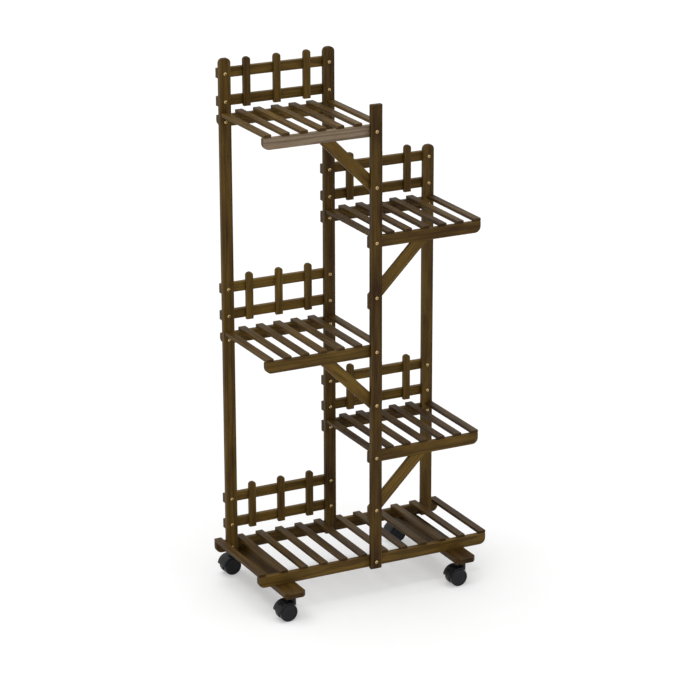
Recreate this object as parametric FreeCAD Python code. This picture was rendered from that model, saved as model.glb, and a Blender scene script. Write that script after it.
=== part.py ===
import FreeCAD, Part
import math
import os

# Flower cart stand, in millimetres.
# While a piece is made, X runs right along the long side from the left face of the left post, Y runs back from
# the front face of the front post, and Z runs up from the floor. The export then moves every piece so that the
# origin is on the floor under the middle of the stand.

# ---- driving dimensions -------------------------------------------------------------------------------------
PITCH = 120.0            # height from one front-post screw to the next; every level is a multiple of it
POST_W = 26.0            # post and brace stock, width
POST_T = 10.0            # post and brace stock, thickness
RAIL_H = 25.0            # shelf rail, height
RAIL_T = 11.0            # shelf rail and fence rail, thickness
SLAT_W = 17.0            # shelf slat, width
SLAT_T = 7.0             # shelf slat, thickness
FENCE_H = 21.0           # fence rail, height
PICKET_W = 16.0          # picket, width
PICKET_T = 9.0           # picket, thickness
BAY = 242.0              # left face of one post to the left face of the next
DEPTH = 240.0            # front face of the front post to the back face of the back rails
BASE_OVER = 22.0         # how far the base runs past the outer posts
SLATS_SMALL = 7          # slats on a small shelf
SLATS_BAY = 5            # base slats between two posts

POST_OVER_UPPER = 148.0  # top of the two tall back posts above the top level
POST_OVER_RIGHT = 146.0  # top of the short back post above its upper level
FRONT_TOP = 1030.0       # top of the front post above the base level
FRONT_DROP = 3.0         # how far the front post hangs below the base rails
SLAT_INSET = 2.0         # first slat of a small shelf from the left end of its rails
SLAT_CLEAR = 4.0         # base slat beside a post, clear of it
PICKET_DROP = 3.5        # foot of a picket below its lower fence rail
PICKET_LONG = 105.0      # length of a picket
FENCE_GAP = 60.0         # lower fence rail to the upper one
FENCE_TOP_TIER = 44.5    # lower fence rail above its level, on the top shelf
FENCE_RIGHT = 49.0       # the same on the right-hand shelves
FENCE_LOW_TIERS = 55.0   # the same on the lower left shelf and on the base
PICKET_STEP = 70.0       # one picket to the next
BRACE_ANGLE = 45.0       # brace to the horizontal

BAR_W = 48.0             # crossbar, width
BAR_T = 12.0             # crossbar, thickness
BAR_PAST_FRONT = 46.0    # crossbar past the front post's face
BAR_PAST_BACK = 42.0     # crossbar past the back rails
BAR_IN_LEFT = 38.0       # left crossbar in from the left end of the base
BAR_IN_RIGHT = 54.0      # right crossbar in from the right end of the base
BAR_CLIP = 8.0           # clipped corner of a crossbar

WHEEL_D = 40.0           # caster wheel, diameter
WHEEL_W = 11.2           # caster wheel, width
CASTER_H = 54.0          # floor to the underside of the crossbar
CASTER_TRAIL = 15.0      # axle behind the swivel axis
CASTER_TURN = 183.0      # direction in which the casters trail, from +X
STEM_IN = 22.0           # swivel axis in from the end of its crossbar

ARRIS = 0.8              # chamfer on the long edges of the boards
RAIL_ROUND = 14.0        # lower corner of a rail's free end
RAIL_NOSE = 2.0          # upper corner of a rail's free end
TOP_ROUND = 10.5         # rounded top of a back post
PICKET_ROUND = 7.0       # rounded top of a picket
FRONT_EASE = 1.5         # eased top corner of the front post
BRACE_CLIP = 5.0         # clipped lower corner of a brace's foot

SCREW_D = 4.0            # wood screw, shank
SCREW_HEAD_D = 7.6       # wood screw, round head
SCREW_HEAD_H = 2.2
SCREW_BITE = 9.0         # how deep a screw goes into the board behind the post
SCREW_TIP = 2.5
RECESS_W = 1.1           # arm of the cross recess
RECESS_L = 4.2
RECESS_DEEP = 1.2
CSK_D = 8.0              # countersunk head of a crossbar screw
CSK_BITE = 16.0          # how deep a crossbar screw goes into a base rail

INSERT_D = 10.5          # threaded insert for a caster's stem
INSERT_L = 10.0
STEM_D = 8.0             # caster stem and swivel pin
COLLAR_AF = 11.0         # hexagon collar of the stem, across flats
COLLAR_H = 3.0
PIN_END = 38.0           # lower end of the swivel pin above the floor
RIB_D = 9.0              # rib that the hood's socket snaps over
RIB_H = 1.6
RIB_AT = 44.0            # middle of the rib above the floor
WEB_T = 8.2              # web of the hood between the two wheels
BOSS_D = 16.0            # boss of the hood round the swivel pin
HOOD_T = 3.0             # wall of the hood over the wheels
HOOD_W = 33.0            # hood, width over both wheels
HOOD_FROM = 8.0          # the hood's arc, degrees from the trailing side
HOOD_TO = 124.0
WEB_DROP = 9.0           # lower edge of the web below the axle
BOSS_FOOT = 8.0          # foot of the boss above the axle
AXLE_D = 6.0             # wheel axle
AXLE_L = 26.0
DISH_D = 30.0            # dish in the outer face of a wheel
DISH_DEEP = 1.2
LEVER_AT = 55.0          # direction of the brake lever's pin round the axle
LEVER_W = 11.0           # brake lever, width
LEVER_OUT = 9.0          # length of the pedal past its pin
LEVER_T = 3.0            # thickness of the pedal
LEVER_BARREL = 5.0       # diameter of the lever's barrel
LEVER_TOE = 3.2          # toe of the lever, from its pin towards the wheels
LEVER_PRESS = 18.0       # how far the lever turns down
LEVER_ROOM = 0.8         # room between the lever and its window in the hood
LEVER_REACH = 12.0       # how far the window's cut reaches past the pin
LEVER_IN = 2.5           # how far the window's cut reaches inside the hood's arc
LEVER_PIN_D = 2.4        # stub pins of the lever
LEVER_PIN_L = 2.5
EAR_T = 3.2              # ear on the hood beside the lever

# ---- clearances ---------------------------------------------------------------------------------------------
RUN_FIT = 0.05           # radial clearance of a pin that turns in its bore
FACE_GAP = 0.30          # between faces that move past each other
WHEEL_GAP = 1.0          # radial clearance between a wheel and the hood

# ---- positions that follow ----------------------------------------------------------------------------------
BASE_Z = CASTER_H + BAR_T
MIDDLE = BAY
RIGHT = 2.0 * BAY
LEFT_END = -BASE_OVER
RIGHT_END = RIGHT + POST_W + BASE_OVER
FRONT_RAIL_Y = POST_T
BACK_RAIL_Y = DEPTH - RAIL_T
BACK_POST_Y = BACK_RAIL_Y - POST_T
WHEEL_R = WHEEL_D / 2.0
HOOD_R = WHEEL_R + WHEEL_GAP
BIG = 400.0

SHELVES = (("base", "full", 0), ("right_lower", "right", 2), ("left_lower", "left", 4),
           ("right_upper", "right", 6), ("left_upper", "left", 8))
FENCES = (("left_upper", "left", 8, FENCE_TOP_TIER), ("left_lower", "left", 4, FENCE_LOW_TIERS),
          ("left_base", "left", 0, FENCE_LOW_TIERS), ("right_upper", "right", 6, FENCE_RIGHT),
          ("right_lower", "right", 2, FENCE_RIGHT))
BRACES = (("right_lower", 1, 1), ("left_lower", 3, -1), ("right_upper", 5, 1), ("left_upper", 7, -1))


def level(steps):
    """Height of the underside of the rails that are a number of pitches above the base."""
    return BASE_Z + steps * PITCH


def span(side):
    """Left and right end of a shelf or fence."""
    if side == "left":
        return 0.0, MIDDLE + POST_W
    if side == "right":
        return MIDDLE, RIGHT + POST_W
    return LEFT_END, RIGHT_END


def box(x0, x1, y0, y1, z0, z1):
    """A block between two corners."""
    return Part.makeBox(x1 - x0, y1 - y0, z1 - z0, FreeCAD.Vector(x0, y0, z0))


def cylinder(diameter, length, base, axis):
    """A round bar that starts at base and runs along axis."""
    return Part.makeCylinder(diameter / 2.0, length, FreeCAD.Vector(*base), FreeCAD.Vector(*axis))


def turned(outline, centre=(0.0, 0.0, 0.0), axis="z"):
    """A turned solid from (radius, height) points; it stands on centre along +Z, +Y or -Y."""
    points = [FreeCAD.Vector(r, 0.0, h) for r, h in outline]
    face = Part.Face(Part.makePolygon(points + [points[0]]))
    solid = face.revolve(FreeCAD.Vector(0, 0, 0), FreeCAD.Vector(0, 0, 1), 360.0)
    if axis == "y":
        solid.rotate(FreeCAD.Vector(0, 0, 0), FreeCAD.Vector(1, 0, 0), -90.0)
    if axis == "-y":
        solid.rotate(FreeCAD.Vector(0, 0, 0), FreeCAD.Vector(1, 0, 0), 90.0)
    solid.translate(FreeCAD.Vector(*centre))
    return solid


def rounded_board(x0, x1, z0, z1, y0, thickness, radii):
    """A board seen from the front, with a radius at its lower left, lower right, upper right and upper left."""
    board = box(x0, x1, y0, y0 + thickness, z0, z1)
    corners = ((x0, z0), (x1, z0), (x1, z1), (x0, z1))
    for (x, z), radius in zip(corners, radii):
        if radius > 0.0:
            edge = [e for e in board.Edges if abs(e.Length - thickness) < 1e-6
                    and abs(e.CenterOfMass.x - x) < 1e-6 and abs(e.CenterOfMass.z - z) < 1e-6]
            board = board.makeFillet(radius, edge)
    return board


def eased_profile(board, size=ARRIS):
    """Chamfers the outline of the front and back faces of an upright board, round corners included."""
    box_ = board.BoundBox
    edges = [e for e in board.Edges if e.BoundBox.YLength < 1e-6
             and (abs(e.BoundBox.YMin - box_.YMin) < 1e-6 or abs(e.BoundBox.YMax - box_.YMax) < 1e-6)]
    return board.makeChamfer(size, edges)


def screw_heights_front():
    """The front post has one screw at every pitch."""
    return [level(step) + RAIL_H / 2.0 for step in range(len(BRACES) * 2 + 1)]


def screw_heights_back(left_x):
    """The back posts have a screw at each rail that crosses them."""
    heights = []
    for _, side, steps in SHELVES:
        start, end = span(side)
        if start <= left_x + 1.0 and left_x + POST_W - 1.0 <= end:
            heights.append(level(steps) + RAIL_H / 2.0)
    for _, side, steps, low in FENCES:
        start, end = span(side)
        if start <= left_x + 1.0 and left_x + POST_W - 1.0 <= end:
            heights.append(level(steps) + low + FENCE_H / 2.0)
            heights.append(level(steps) + low + FENCE_GAP + FENCE_H / 2.0)
    return heights


FRONT_SCREWS = [(MIDDLE + POST_W / 2.0, 0.0, z) for z in screw_heights_front()]
BACK_SCREWS = [(x + POST_W / 2.0, BACK_POST_Y, z) for x in (0.0, MIDDLE, RIGHT) for z in screw_heights_back(x)]


def screw(x, y, z):
    """A round-head wood screw that enters a post at y and points backwards."""
    length = POST_T + SCREW_BITE
    radius = SCREW_D / 2.0
    head = SCREW_HEAD_D / 2.0
    body = turned([(0.0, length), (radius, length - SCREW_TIP), (radius, 0.0), (head, 0.0),
                   (head, -SCREW_HEAD_H * 0.35), (head * 0.8, -SCREW_HEAD_H * 0.75),
                   (head * 0.45, -SCREW_HEAD_H), (0.0, -SCREW_HEAD_H)], (x, y, z), "y")
    front = y - SCREW_HEAD_H - 1.0
    arm = RECESS_L / 2.0
    half = RECESS_W / 2.0
    cut = box(x - arm, x + arm, front, front + 1.0 + RECESS_DEEP, z - half, z + half)
    cut = cut.fuse(box(x - half, x + half, front, front + 1.0 + RECESS_DEEP, z - arm, z + arm)).removeSplitter()
    return body.cut(cut)


def drilled(board, screws, through):
    """Drills a board for the screws that pass it: through a post, or as a pilot hole in the board behind."""
    bb = board.BoundBox
    probe = POST_T - 1.0 if through else POST_T + 1.0
    for x, y, z in screws:
        if bb.XMin < x < bb.XMax and bb.ZMin < z < bb.ZMax and bb.YMin < y + probe < bb.YMax:
            hole = cylinder(SCREW_D, POST_T + SCREW_BITE - SCREW_TIP, (x, y, z), (0, 1, 0))
            tip = Part.makeCone(SCREW_D / 2.0, 0.0, SCREW_TIP,
                                FreeCAD.Vector(x, y + POST_T + SCREW_BITE - SCREW_TIP, z), FreeCAD.Vector(0, 1, 0))
            board = board.cut(hole.fuse(tip))
    return board


def post(x0, y0, z0, z1, top_radius):
    """An upright post; a back post has a rounded top."""
    board = rounded_board(x0, x0 + POST_W, z0, z1, y0, POST_T, (0.0, 0.0, top_radius, top_radius))
    board = eased_profile(board)
    return drilled(board, FRONT_SCREWS + BACK_SCREWS, True)


def shelf_rail(side, steps, back):
    """A shelf rail. A free end has a large radius below; an end behind the front post is square."""
    x0, x1 = span(side)
    free_left = back or side != "right"
    free_right = back or side != "left"
    radii = (RAIL_ROUND if free_left else 0.0, RAIL_ROUND if free_right else 0.0,
             RAIL_NOSE if free_right else 0.0, RAIL_NOSE if free_left else 0.0)
    y0 = BACK_RAIL_Y if back else FRONT_RAIL_Y
    if back and side == "right":
        radii = (0.0, RAIL_ROUND, RAIL_NOSE, 0.0)
    if back and side == "left":
        radii = (RAIL_ROUND, 0.0, 0.0, RAIL_NOSE)
    board = rounded_board(x0, x1, level(steps), level(steps) + RAIL_H, y0, RAIL_T, radii)
    board = eased_profile(board)
    board = drilled(board, FRONT_SCREWS + BACK_SCREWS, False)
    if side == "full":
        for x, y in bar_screws():
            if y0 < y < y0 + RAIL_T:
                hole = cylinder(SCREW_D, CSK_BITE - SCREW_TIP, (x, y, BASE_Z), (0, 0, 1))
                tip = Part.makeCone(SCREW_D / 2.0, 0.0, SCREW_TIP,
                                    FreeCAD.Vector(x, y, BASE_Z + CSK_BITE - SCREW_TIP), FreeCAD.Vector(0, 0, 1))
                board = board.cut(hole.fuse(tip))
    return board


def slat_lefts(side):
    """Left edge of every slat of a shelf."""
    x0, x1 = span(side)
    if side == "full":
        lefts = [x0]
        for bay in (0.0, MIDDLE):
            first = bay + POST_W + SLAT_CLEAR
            last = bay + BAY - SLAT_CLEAR - SLAT_W
            step = (last - first) / (SLATS_BAY - 1)
            lefts += [first + step * i for i in range(SLATS_BAY)]
        return lefts + [x1 - SLAT_W]
    first, last = x0 + SLAT_INSET, x1 - SLAT_W
    return [first + (last - first) / (SLATS_SMALL - 1) * i for i in range(SLATS_SMALL)]


def slats(side, steps):
    """The slats of a shelf. One that would run into a back post stops against its front face."""
    z0 = level(steps) + RAIL_H
    pieces = []
    for x in slat_lefts(side):
        blocked = any(x < p + POST_W and x + SLAT_W > p for p in (0.0, MIDDLE, RIGHT))
        y1 = BACK_POST_Y if blocked else DEPTH
        board = box(x, x + SLAT_W, FRONT_RAIL_Y, y1, z0, z0 + SLAT_T)
        edges = [e for e in board.Edges if e.BoundBox.ZLength < 1e-6 and abs(e.BoundBox.ZMin - z0 - SLAT_T) < 1e-6]
        pieces.append(board.makeChamfer(ARRIS, edges))
    return pieces


def fence_rails(side, steps, low):
    """The two rails of a fence, behind the posts."""
    x0, x1 = span(side)
    pieces = []
    for up in (0.0, FENCE_GAP):
        z0 = level(steps) + low + up
        board = eased_profile(box(x0, x1, BACK_RAIL_Y, DEPTH, z0, z0 + FENCE_H))
        pieces.append(drilled(board, BACK_SCREWS, False))
    return pieces


def pickets(side, steps, low):
    """The three pickets in front of a fence's rails."""
    x0, x1 = span(side)
    z0 = level(steps) + low - PICKET_DROP
    pieces = []
    for i in (-1, 0, 1):
        x = (x0 + x1 - PICKET_W) / 2.0 + i * PICKET_STEP
        board = rounded_board(x, x + PICKET_W, z0, z0 + PICKET_LONG, BACK_RAIL_Y - PICKET_T, PICKET_T,
                              (0.0, 0.0, PICKET_ROUND, PICKET_ROUND))
        pieces.append(eased_profile(board))
    return pieces


def brace(step, hand):
    """A brace from behind the front post up to the underside of the shelf rail one pitch above its foot.
    hand is 1 when it rises to the right."""
    pivot_x = MIDDLE + POST_W / 2.0
    pivot_z = level(step) + RAIL_H / 2.0
    board = Part.makeBox(BIG, POST_T, POST_W, FreeCAD.Vector(-BIG / 2.0, FRONT_RAIL_Y, -POST_W / 2.0))
    board.rotate(FreeCAD.Vector(0, 0, 0), FreeCAD.Vector(0, 1, 0), -hand * BRACE_ANGLE)
    board.translate(FreeCAD.Vector(pivot_x, 0, pivot_z))
    top = level(step + 1)
    if hand > 0:
        keep = box(MIDDLE, RIGHT, 0.0, BIG, 0.0, top)
    else:
        keep = box(0.0, MIDDLE + POST_W, 0.0, BIG, 0.0, top)
    board = board.common(keep)
    bb = board.BoundBox
    foot_x = MIDDLE if hand > 0 else MIDDLE + POST_W
    clip = box(-BIG, BIG, 0.0, BIG, -BIG, bb.ZMin + BRACE_CLIP)
    board = board.cut(clip)
    board = eased_profile(board)
    return drilled(board, FRONT_SCREWS, False)


def bar_lefts():
    """Left edge of each crossbar."""
    return (LEFT_END + BAR_IN_LEFT, RIGHT_END - BAR_IN_RIGHT - BAR_W)


def bar_screws():
    """Where the crossbars are screwed up into the base rails."""
    return [(x + BAR_W * share, y) for x in bar_lefts() for share in (0.25, 0.75)
            for y in (FRONT_RAIL_Y + RAIL_T / 2.0, BACK_RAIL_Y + RAIL_T / 2.0)]


def stem_points():
    """Swivel axis of each caster: front left, front right, back left, back right."""
    y_front = -BAR_PAST_FRONT + STEM_IN
    y_back = DEPTH + BAR_PAST_BACK - STEM_IN
    return [(x + BAR_W / 2.0, y) for y in (y_front, y_back) for x in bar_lefts()]


def crossbar(x0):
    """A board under the base rails that carries a caster near each end."""
    board = box(x0, x0 + BAR_W, -BAR_PAST_FRONT, DEPTH + BAR_PAST_BACK, CASTER_H, BASE_Z)
    upright = [e for e in board.Edges if e.BoundBox.ZLength > BAR_T - 1e-6]
    board = board.makeChamfer(BAR_CLIP, upright)
    rim = [e for e in board.Edges if e.BoundBox.ZLength < 1e-6]
    board = board.makeChamfer(ARRIS, rim)
    for x, y in bar_screws():
        if x0 < x < x0 + BAR_W:
            board = board.cut(cylinder(SCREW_D, BAR_T, (x, y, CASTER_H), (0, 0, 1)))
            deep = (CSK_D - SCREW_D) / 2.0
            board = board.cut(Part.makeCone(CSK_D / 2.0, SCREW_D / 2.0, deep, FreeCAD.Vector(x, y, CASTER_H)))
    for x, y in stem_points():
        if x0 < x < x0 + BAR_W:
            board = board.cut(cylinder(INSERT_D, INSERT_L, (x, y, CASTER_H), (0, 0, 1)))
    return board


def bar_screw(x, y):
    """A countersunk screw up through a crossbar into a base rail."""
    radius = SCREW_D / 2.0
    deep = (CSK_D - SCREW_D) / 2.0
    end = BAR_T + CSK_BITE
    solid = turned([(0.0, 0.0), (CSK_D / 2.0, 0.0), (radius, deep), (radius, end - SCREW_TIP), (0.0, end)],
                   (x, y, CASTER_H))
    arm = RECESS_L / 2.0
    half = RECESS_W / 2.0
    cut = box(x - arm, x + arm, y - half, y + half, CASTER_H - 1.0, CASTER_H + RECESS_DEEP)
    cut = cut.fuse(box(x - half, x + half, y - arm, y + arm, CASTER_H - 1.0, CASTER_H + RECESS_DEEP))
    return solid.cut(cut.removeSplitter())


# ---- casters: made with the swivel axis at the origin and the wheels trailing along +X ------------------------
AXLE_Z = WHEEL_R
BOSS_TOP = CASTER_H - COLLAR_H - FACE_GAP


def hexagon(across, z0, height):
    """A hexagonal bar round the Z axis."""
    radius = across / math.sqrt(3.0)
    points = [FreeCAD.Vector(radius * math.cos(math.radians(60 * i)), radius * math.sin(math.radians(60 * i)), z0)
              for i in range(6)]
    return Part.Face(Part.makePolygon(points + [points[0]])).extrude(FreeCAD.Vector(0, 0, height))


def caster_stem():
    """The stem: a threaded end in the insert, a hexagon collar, and a pin with a rib that the hood turns on."""
    pin = STEM_D / 2.0
    rib = RIB_D / 2.0
    half = RIB_H / 2.0
    top = CASTER_H + INSERT_L - 0.5
    body = turned([(0.0, PIN_END), (pin - 0.8, PIN_END), (pin, PIN_END + 0.8), (pin, RIB_AT - half),
                   (rib, RIB_AT - half / 2.0), (rib, RIB_AT + half / 2.0), (pin, RIB_AT + half),
                   (pin, top - 0.8), (pin - 0.8, top), (0.0, top)])
    return body.fuse(hexagon(COLLAR_AF, CASTER_H - COLLAR_H, COLLAR_H)).removeSplitter()


def caster_insert():
    """The threaded insert in the crossbar."""
    tube = cylinder(INSERT_D, INSERT_L, (0, 0, CASTER_H), (0, 0, 1))
    return tube.cut(cylinder(STEM_D, INSERT_L, (0, 0, CASTER_H), (0, 0, 1)))


def round_axle(diameter, y0, y1):
    """A round bar along Y on the wheels' axis."""
    return cylinder(diameter, y1 - y0, (CASTER_TRAIL, y0, AXLE_Z), (0, 1, 0))


def wedge(start, stop, radius, y0, y1):
    """A sector about the wheels' axis, from one direction round to another, in degrees from the trailing side."""
    steps = 8
    points = [FreeCAD.Vector(CASTER_TRAIL, y0, AXLE_Z)]
    for i in range(steps + 1):
        angle = math.radians(start + (stop - start) * i / steps)
        x, z = CASTER_TRAIL + radius * math.cos(angle), AXLE_Z + radius * math.sin(angle)
        points.append(FreeCAD.Vector(x, y0, z))
    return Part.Face(Part.makePolygon(points + [points[0]])).extrude(FreeCAD.Vector(0, y1 - y0, 0))


def lever_pin_point():
    """Middle of the brake lever's pin."""
    radius = HOOD_R + HOOD_T / 2.0 + 1.0
    angle = math.radians(LEVER_AT)
    return CASTER_TRAIL + radius * math.cos(angle), AXLE_Z + radius * math.sin(angle)


def caster_hood(braked):
    """The hood: a web between the wheels, an arc over them and a boss round the swivel pin."""
    half = HOOD_W / 2.0
    outer = 2.0 * (HOOD_R + HOOD_T)
    arc = round_axle(outer, -half, half).cut(round_axle(2.0 * HOOD_R, -half, half))
    arc = arc.common(wedge(HOOD_FROM, HOOD_TO, 2.0 * HOOD_R, -half, half))
    web = round_axle(2.0 * HOOD_R + 1.0, -WEB_T / 2.0, WEB_T / 2.0)
    web = web.common(box(-BIG, BIG, -BIG, BIG, AXLE_Z - WEB_DROP, BIG))
    boss = cylinder(BOSS_D, BOSS_TOP - AXLE_Z - BOSS_FOOT, (0, 0, AXLE_Z + BOSS_FOOT), (0, 0, 1))
    pockets = round_axle(2.0 * HOOD_R, WEB_T / 2.0, half + 1.0)
    pockets = pockets.fuse(round_axle(2.0 * HOOD_R, -half - 1.0, -WEB_T / 2.0))
    hood = arc.fuse([web, boss]).removeSplitter()
    if braked:
        px, pz = lever_pin_point()
        ear = EAR_T + LEVER_W / 2.0 + FACE_GAP
        block = cylinder(LEVER_BARREL + 2.2, 2.0 * ear, (px, -ear, pz), (0, 1, 0))
        hood = hood.fuse(block).removeSplitter()
    hood = hood.cut(pockets)
    pin = STEM_D / 2.0 + RUN_FIT
    rib = RIB_D / 2.0 + RUN_FIT
    half_rib = RIB_H / 2.0 + 0.1
    bore = turned([(0.0, PIN_END - 0.5), (pin, PIN_END - 0.5), (pin, RIB_AT - half_rib),
                   (rib, RIB_AT - half_rib / 2.0), (rib, RIB_AT + half_rib / 2.0), (pin, RIB_AT + half_rib),
                   (pin, BOSS_TOP + 1.0), (0.0, BOSS_TOP + 1.0)])
    hood = hood.cut(bore)
    hood = hood.cut(round_axle(AXLE_D, -half, half))
    if braked:
        px, pz = lever_pin_point()
        gap = LEVER_W / 2.0 + FACE_GAP
        slot = cylinder(LEVER_BARREL + 3.0 * LEVER_ROOM, 2.0 * gap, (px, -gap, pz), (0, 1, 0))
        high = LEVER_BARREL + 2.0 * LEVER_ROOM
        reach = Part.makeBox(LEVER_REACH, 2.0 * gap, high, FreeCAD.Vector(0.0, -gap, -high / 2.0))
        inward = reach.copy()
        inward.rotate(FreeCAD.Vector(0, 0, 0), FreeCAD.Vector(0, 1, 0), 180.0 - LEVER_AT)
        inward.translate(FreeCAD.Vector(px, 0.0, pz))
        outward = reach.copy()
        outward.rotate(FreeCAD.Vector(0, 0, 0), FreeCAD.Vector(0, 1, 0), -LEVER_AT)
        outward.translate(FreeCAD.Vector(px, 0.0, pz))
        wall = round_axle(2.0 * (HOOD_R + HOOD_T), -gap, gap).cut(round_axle(2.0 * (HOOD_R - LEVER_IN), -gap, gap))
        hood = hood.cut(slot.fuse([inward.common(wall), outward]))
        hole = LEVER_PIN_D + 2.0 * RUN_FIT
        reach_y = gap + LEVER_PIN_L + 0.3
        hood = hood.cut(cylinder(hole, 2.0 * reach_y, (px, -reach_y, pz), (0, 1, 0)))
    return hood


def caster_axle():
    """The axle, pressed into the web."""
    axle = round_axle(AXLE_D, -AXLE_L / 2.0, AXLE_L / 2.0)
    return axle.makeChamfer(0.5, [e for e in axle.Edges if e.BoundBox.YLength < 1e-6])


def caster_wheel(hand):
    """A wheel with a blind bore, a rounded tread and a dished outer face. hand is 1 for the one on +Y."""
    inner = WEB_T / 2.0 + FACE_GAP
    bore = AXLE_D / 2.0 + RUN_FIT
    deep = AXLE_L / 2.0 - inner + FACE_GAP
    dish = DISH_D / 2.0
    button = WHEEL_W - 0.6 * DISH_DEEP
    wheel = turned([(bore, 0.0), (WHEEL_R - 1.2, 0.0), (WHEEL_R, 1.4), (WHEEL_R, WHEEL_W - 2.6),
                    (WHEEL_R - 0.8, WHEEL_W - 0.8), (WHEEL_R - 2.6, WHEEL_W), (dish + 0.6, WHEEL_W),
                    (dish, WHEEL_W - DISH_DEEP), (4.0, button), (0.0, button), (0.0, deep), (bore, deep)])
    if hand > 0:
        wheel.rotate(FreeCAD.Vector(0, 0, 0), FreeCAD.Vector(1, 0, 0), -90.0)
    else:
        wheel.rotate(FreeCAD.Vector(0, 0, 0), FreeCAD.Vector(1, 0, 0), 90.0)
    wheel.translate(FreeCAD.Vector(CASTER_TRAIL, hand * inner, AXLE_Z))
    return wheel


def caster_lever():
    """The brake lever: a barrel on two stub pins, a pedal outside the hood and a short toe towards the wheels."""
    px, pz = lever_pin_point()
    half = LEVER_W / 2.0
    barrel = cylinder(LEVER_BARREL, LEVER_W, (px, -half, pz), (0, 1, 0))
    pin = cylinder(LEVER_PIN_D, LEVER_W + 2.0 * LEVER_PIN_L, (px, -half - LEVER_PIN_L, pz), (0, 1, 0))
    pedal = Part.makeBox(LEVER_OUT, LEVER_W, LEVER_T, FreeCAD.Vector(0.0, -half, -LEVER_T / 2.0))
    tip = [e for e in pedal.Edges if abs(e.CenterOfMass.x - LEVER_OUT) < 1e-6 and e.BoundBox.ZLength > 1.0]
    pedal = pedal.makeFillet(2.0, tip)
    pedal.rotate(FreeCAD.Vector(0, 0, 0), FreeCAD.Vector(0, 1, 0), -LEVER_AT + 12.0)
    pedal.translate(FreeCAD.Vector(px, 0.0, pz))
    toe = Part.makeBox(LEVER_TOE, LEVER_W, LEVER_T, FreeCAD.Vector(0.0, -half, -LEVER_T / 2.0))
    toe = toe.makeFillet(1.4, [e for e in toe.Edges if abs(e.CenterOfMass.x - LEVER_TOE) < 1e-6
                               and e.BoundBox.YLength > 1.0])
    toe.rotate(FreeCAD.Vector(0, 0, 0), FreeCAD.Vector(0, 1, 0), 180.0 - LEVER_AT - LEVER_PRESS)
    toe.translate(FreeCAD.Vector(px, 0.0, pz))
    return barrel.fuse([pin, pedal, toe]).removeSplitter()


def placed(shape, point):
    """Turns a caster piece to its trailing direction and sets it under its stem point."""
    made = shape.copy()
    made.rotate(FreeCAD.Vector(0, 0, 0), FreeCAD.Vector(0, 0, 1), CASTER_TURN)
    made.translate(FreeCAD.Vector(point[0], point[1], 0.0))
    return made


def build():
    """Every node of the stand, by name, as a list of solids."""
    nodes = {}
    tall = level(8) + POST_OVER_UPPER
    nodes["post_back_left"] = [post(0.0, BACK_POST_Y, BASE_Z, tall, TOP_ROUND)]
    nodes["post_back_middle"] = [post(MIDDLE, BACK_POST_Y, BASE_Z, tall, TOP_ROUND)]
    nodes["post_back_right"] = [post(RIGHT, BACK_POST_Y, BASE_Z, level(6) + POST_OVER_RIGHT, TOP_ROUND)]
    nodes["post_front"] = [post(MIDDLE, 0.0, BASE_Z - FRONT_DROP, BASE_Z + FRONT_TOP, FRONT_EASE)]
    for name, side, steps in SHELVES:
        nodes[name + "_rail_front"] = [shelf_rail(side, steps, False)]
        nodes[name + "_rail_back"] = [shelf_rail(side, steps, True)]
        nodes[name + "_slats"] = slats(side, steps)
    for name, side, steps, low in FENCES:
        nodes["fence_" + name + "_rails"] = fence_rails(side, steps, low)
        nodes["fence_" + name + "_pickets"] = pickets(side, steps, low)
    for name, step, hand in BRACES:
        nodes["brace_" + name] = [brace(step, hand)]
    nodes["crossbar_left"], nodes["crossbar_right"] = [[crossbar(x)] for x in bar_lefts()]
    nodes["screws_front_post"] = [screw(*point) for point in FRONT_SCREWS]
    nodes["screws_back_posts"] = [screw(*point) for point in BACK_SCREWS]
    nodes["screws_crossbars"] = [bar_screw(*point) for point in bar_screws()]
    points = stem_points()
    nodes["caster_inserts"] = [placed(caster_insert(), point) for point in points]
    nodes["caster_stems"] = [placed(caster_stem(), point) for point in points]
    for where, point in zip(("front_left", "front_right", "back_left", "back_right"), points):
        braked = where.startswith("front")
        nodes["caster_" + where + "_hood"] = [placed(caster_hood(braked), point)]
        nodes["caster_" + where + "_axle"] = [placed(caster_axle(), point)]
        nodes["caster_" + where + "_wheel_outer"] = [placed(caster_wheel(1), point)]
        nodes["caster_" + where + "_wheel_inner"] = [placed(caster_wheel(-1), point)]
        if braked:
            nodes["caster_" + where + "_lever"] = [placed(caster_lever(), point)]
    return nodes


def main():
    """Moves every node to the shared frame and writes it."""
    os.makedirs("parts", exist_ok=True)
    nodes = build()
    whole = Part.makeCompound([solid for solids in nodes.values() for solid in solids]).optimalBoundingBox(False)
    shift = FreeCAD.Vector(-(whole.XMin + whole.XMax) / 2.0, -(whole.YMin + whole.YMax) / 2.0, 0.0)
    print("size %.2f x %.2f x %.2f" % (whole.XLength, whole.YLength, whole.ZMax), "moved", tuple(shift))
    for name, solids in nodes.items():
        shape = solids[0] if len(solids) == 1 else Part.makeCompound(solids)
        shape = shape.copy()
        shape.translate(shift)
        if not shape.isValid():
            print("not valid:", name)
        shape.exportStep(os.path.join("parts", name + ".step"))
    for where, point in zip(("front_left", "front_right", "back_left", "back_right"), stem_points()):
        print(where, "stem", round(point[0] + shift.x, 4), round(point[1] + shift.y, 4))
    print(len(nodes), "nodes")


if __name__ == "__main__":
    main()
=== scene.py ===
"""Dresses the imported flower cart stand: stained boards, brass-plated screws and black twin-wheel casters."""
import logging
import math
import random
from collections.abc import Iterable, Sequence
from dataclasses import dataclass
from enum import Enum
from functools import cache

import bmesh
import bpy
from bmesh.types import BMEdge, BMesh
from bpy.types import ID, Material, Mesh, Node, NodeSocket, NodeTree, Object
from mathutils import Matrix, Vector


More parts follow.
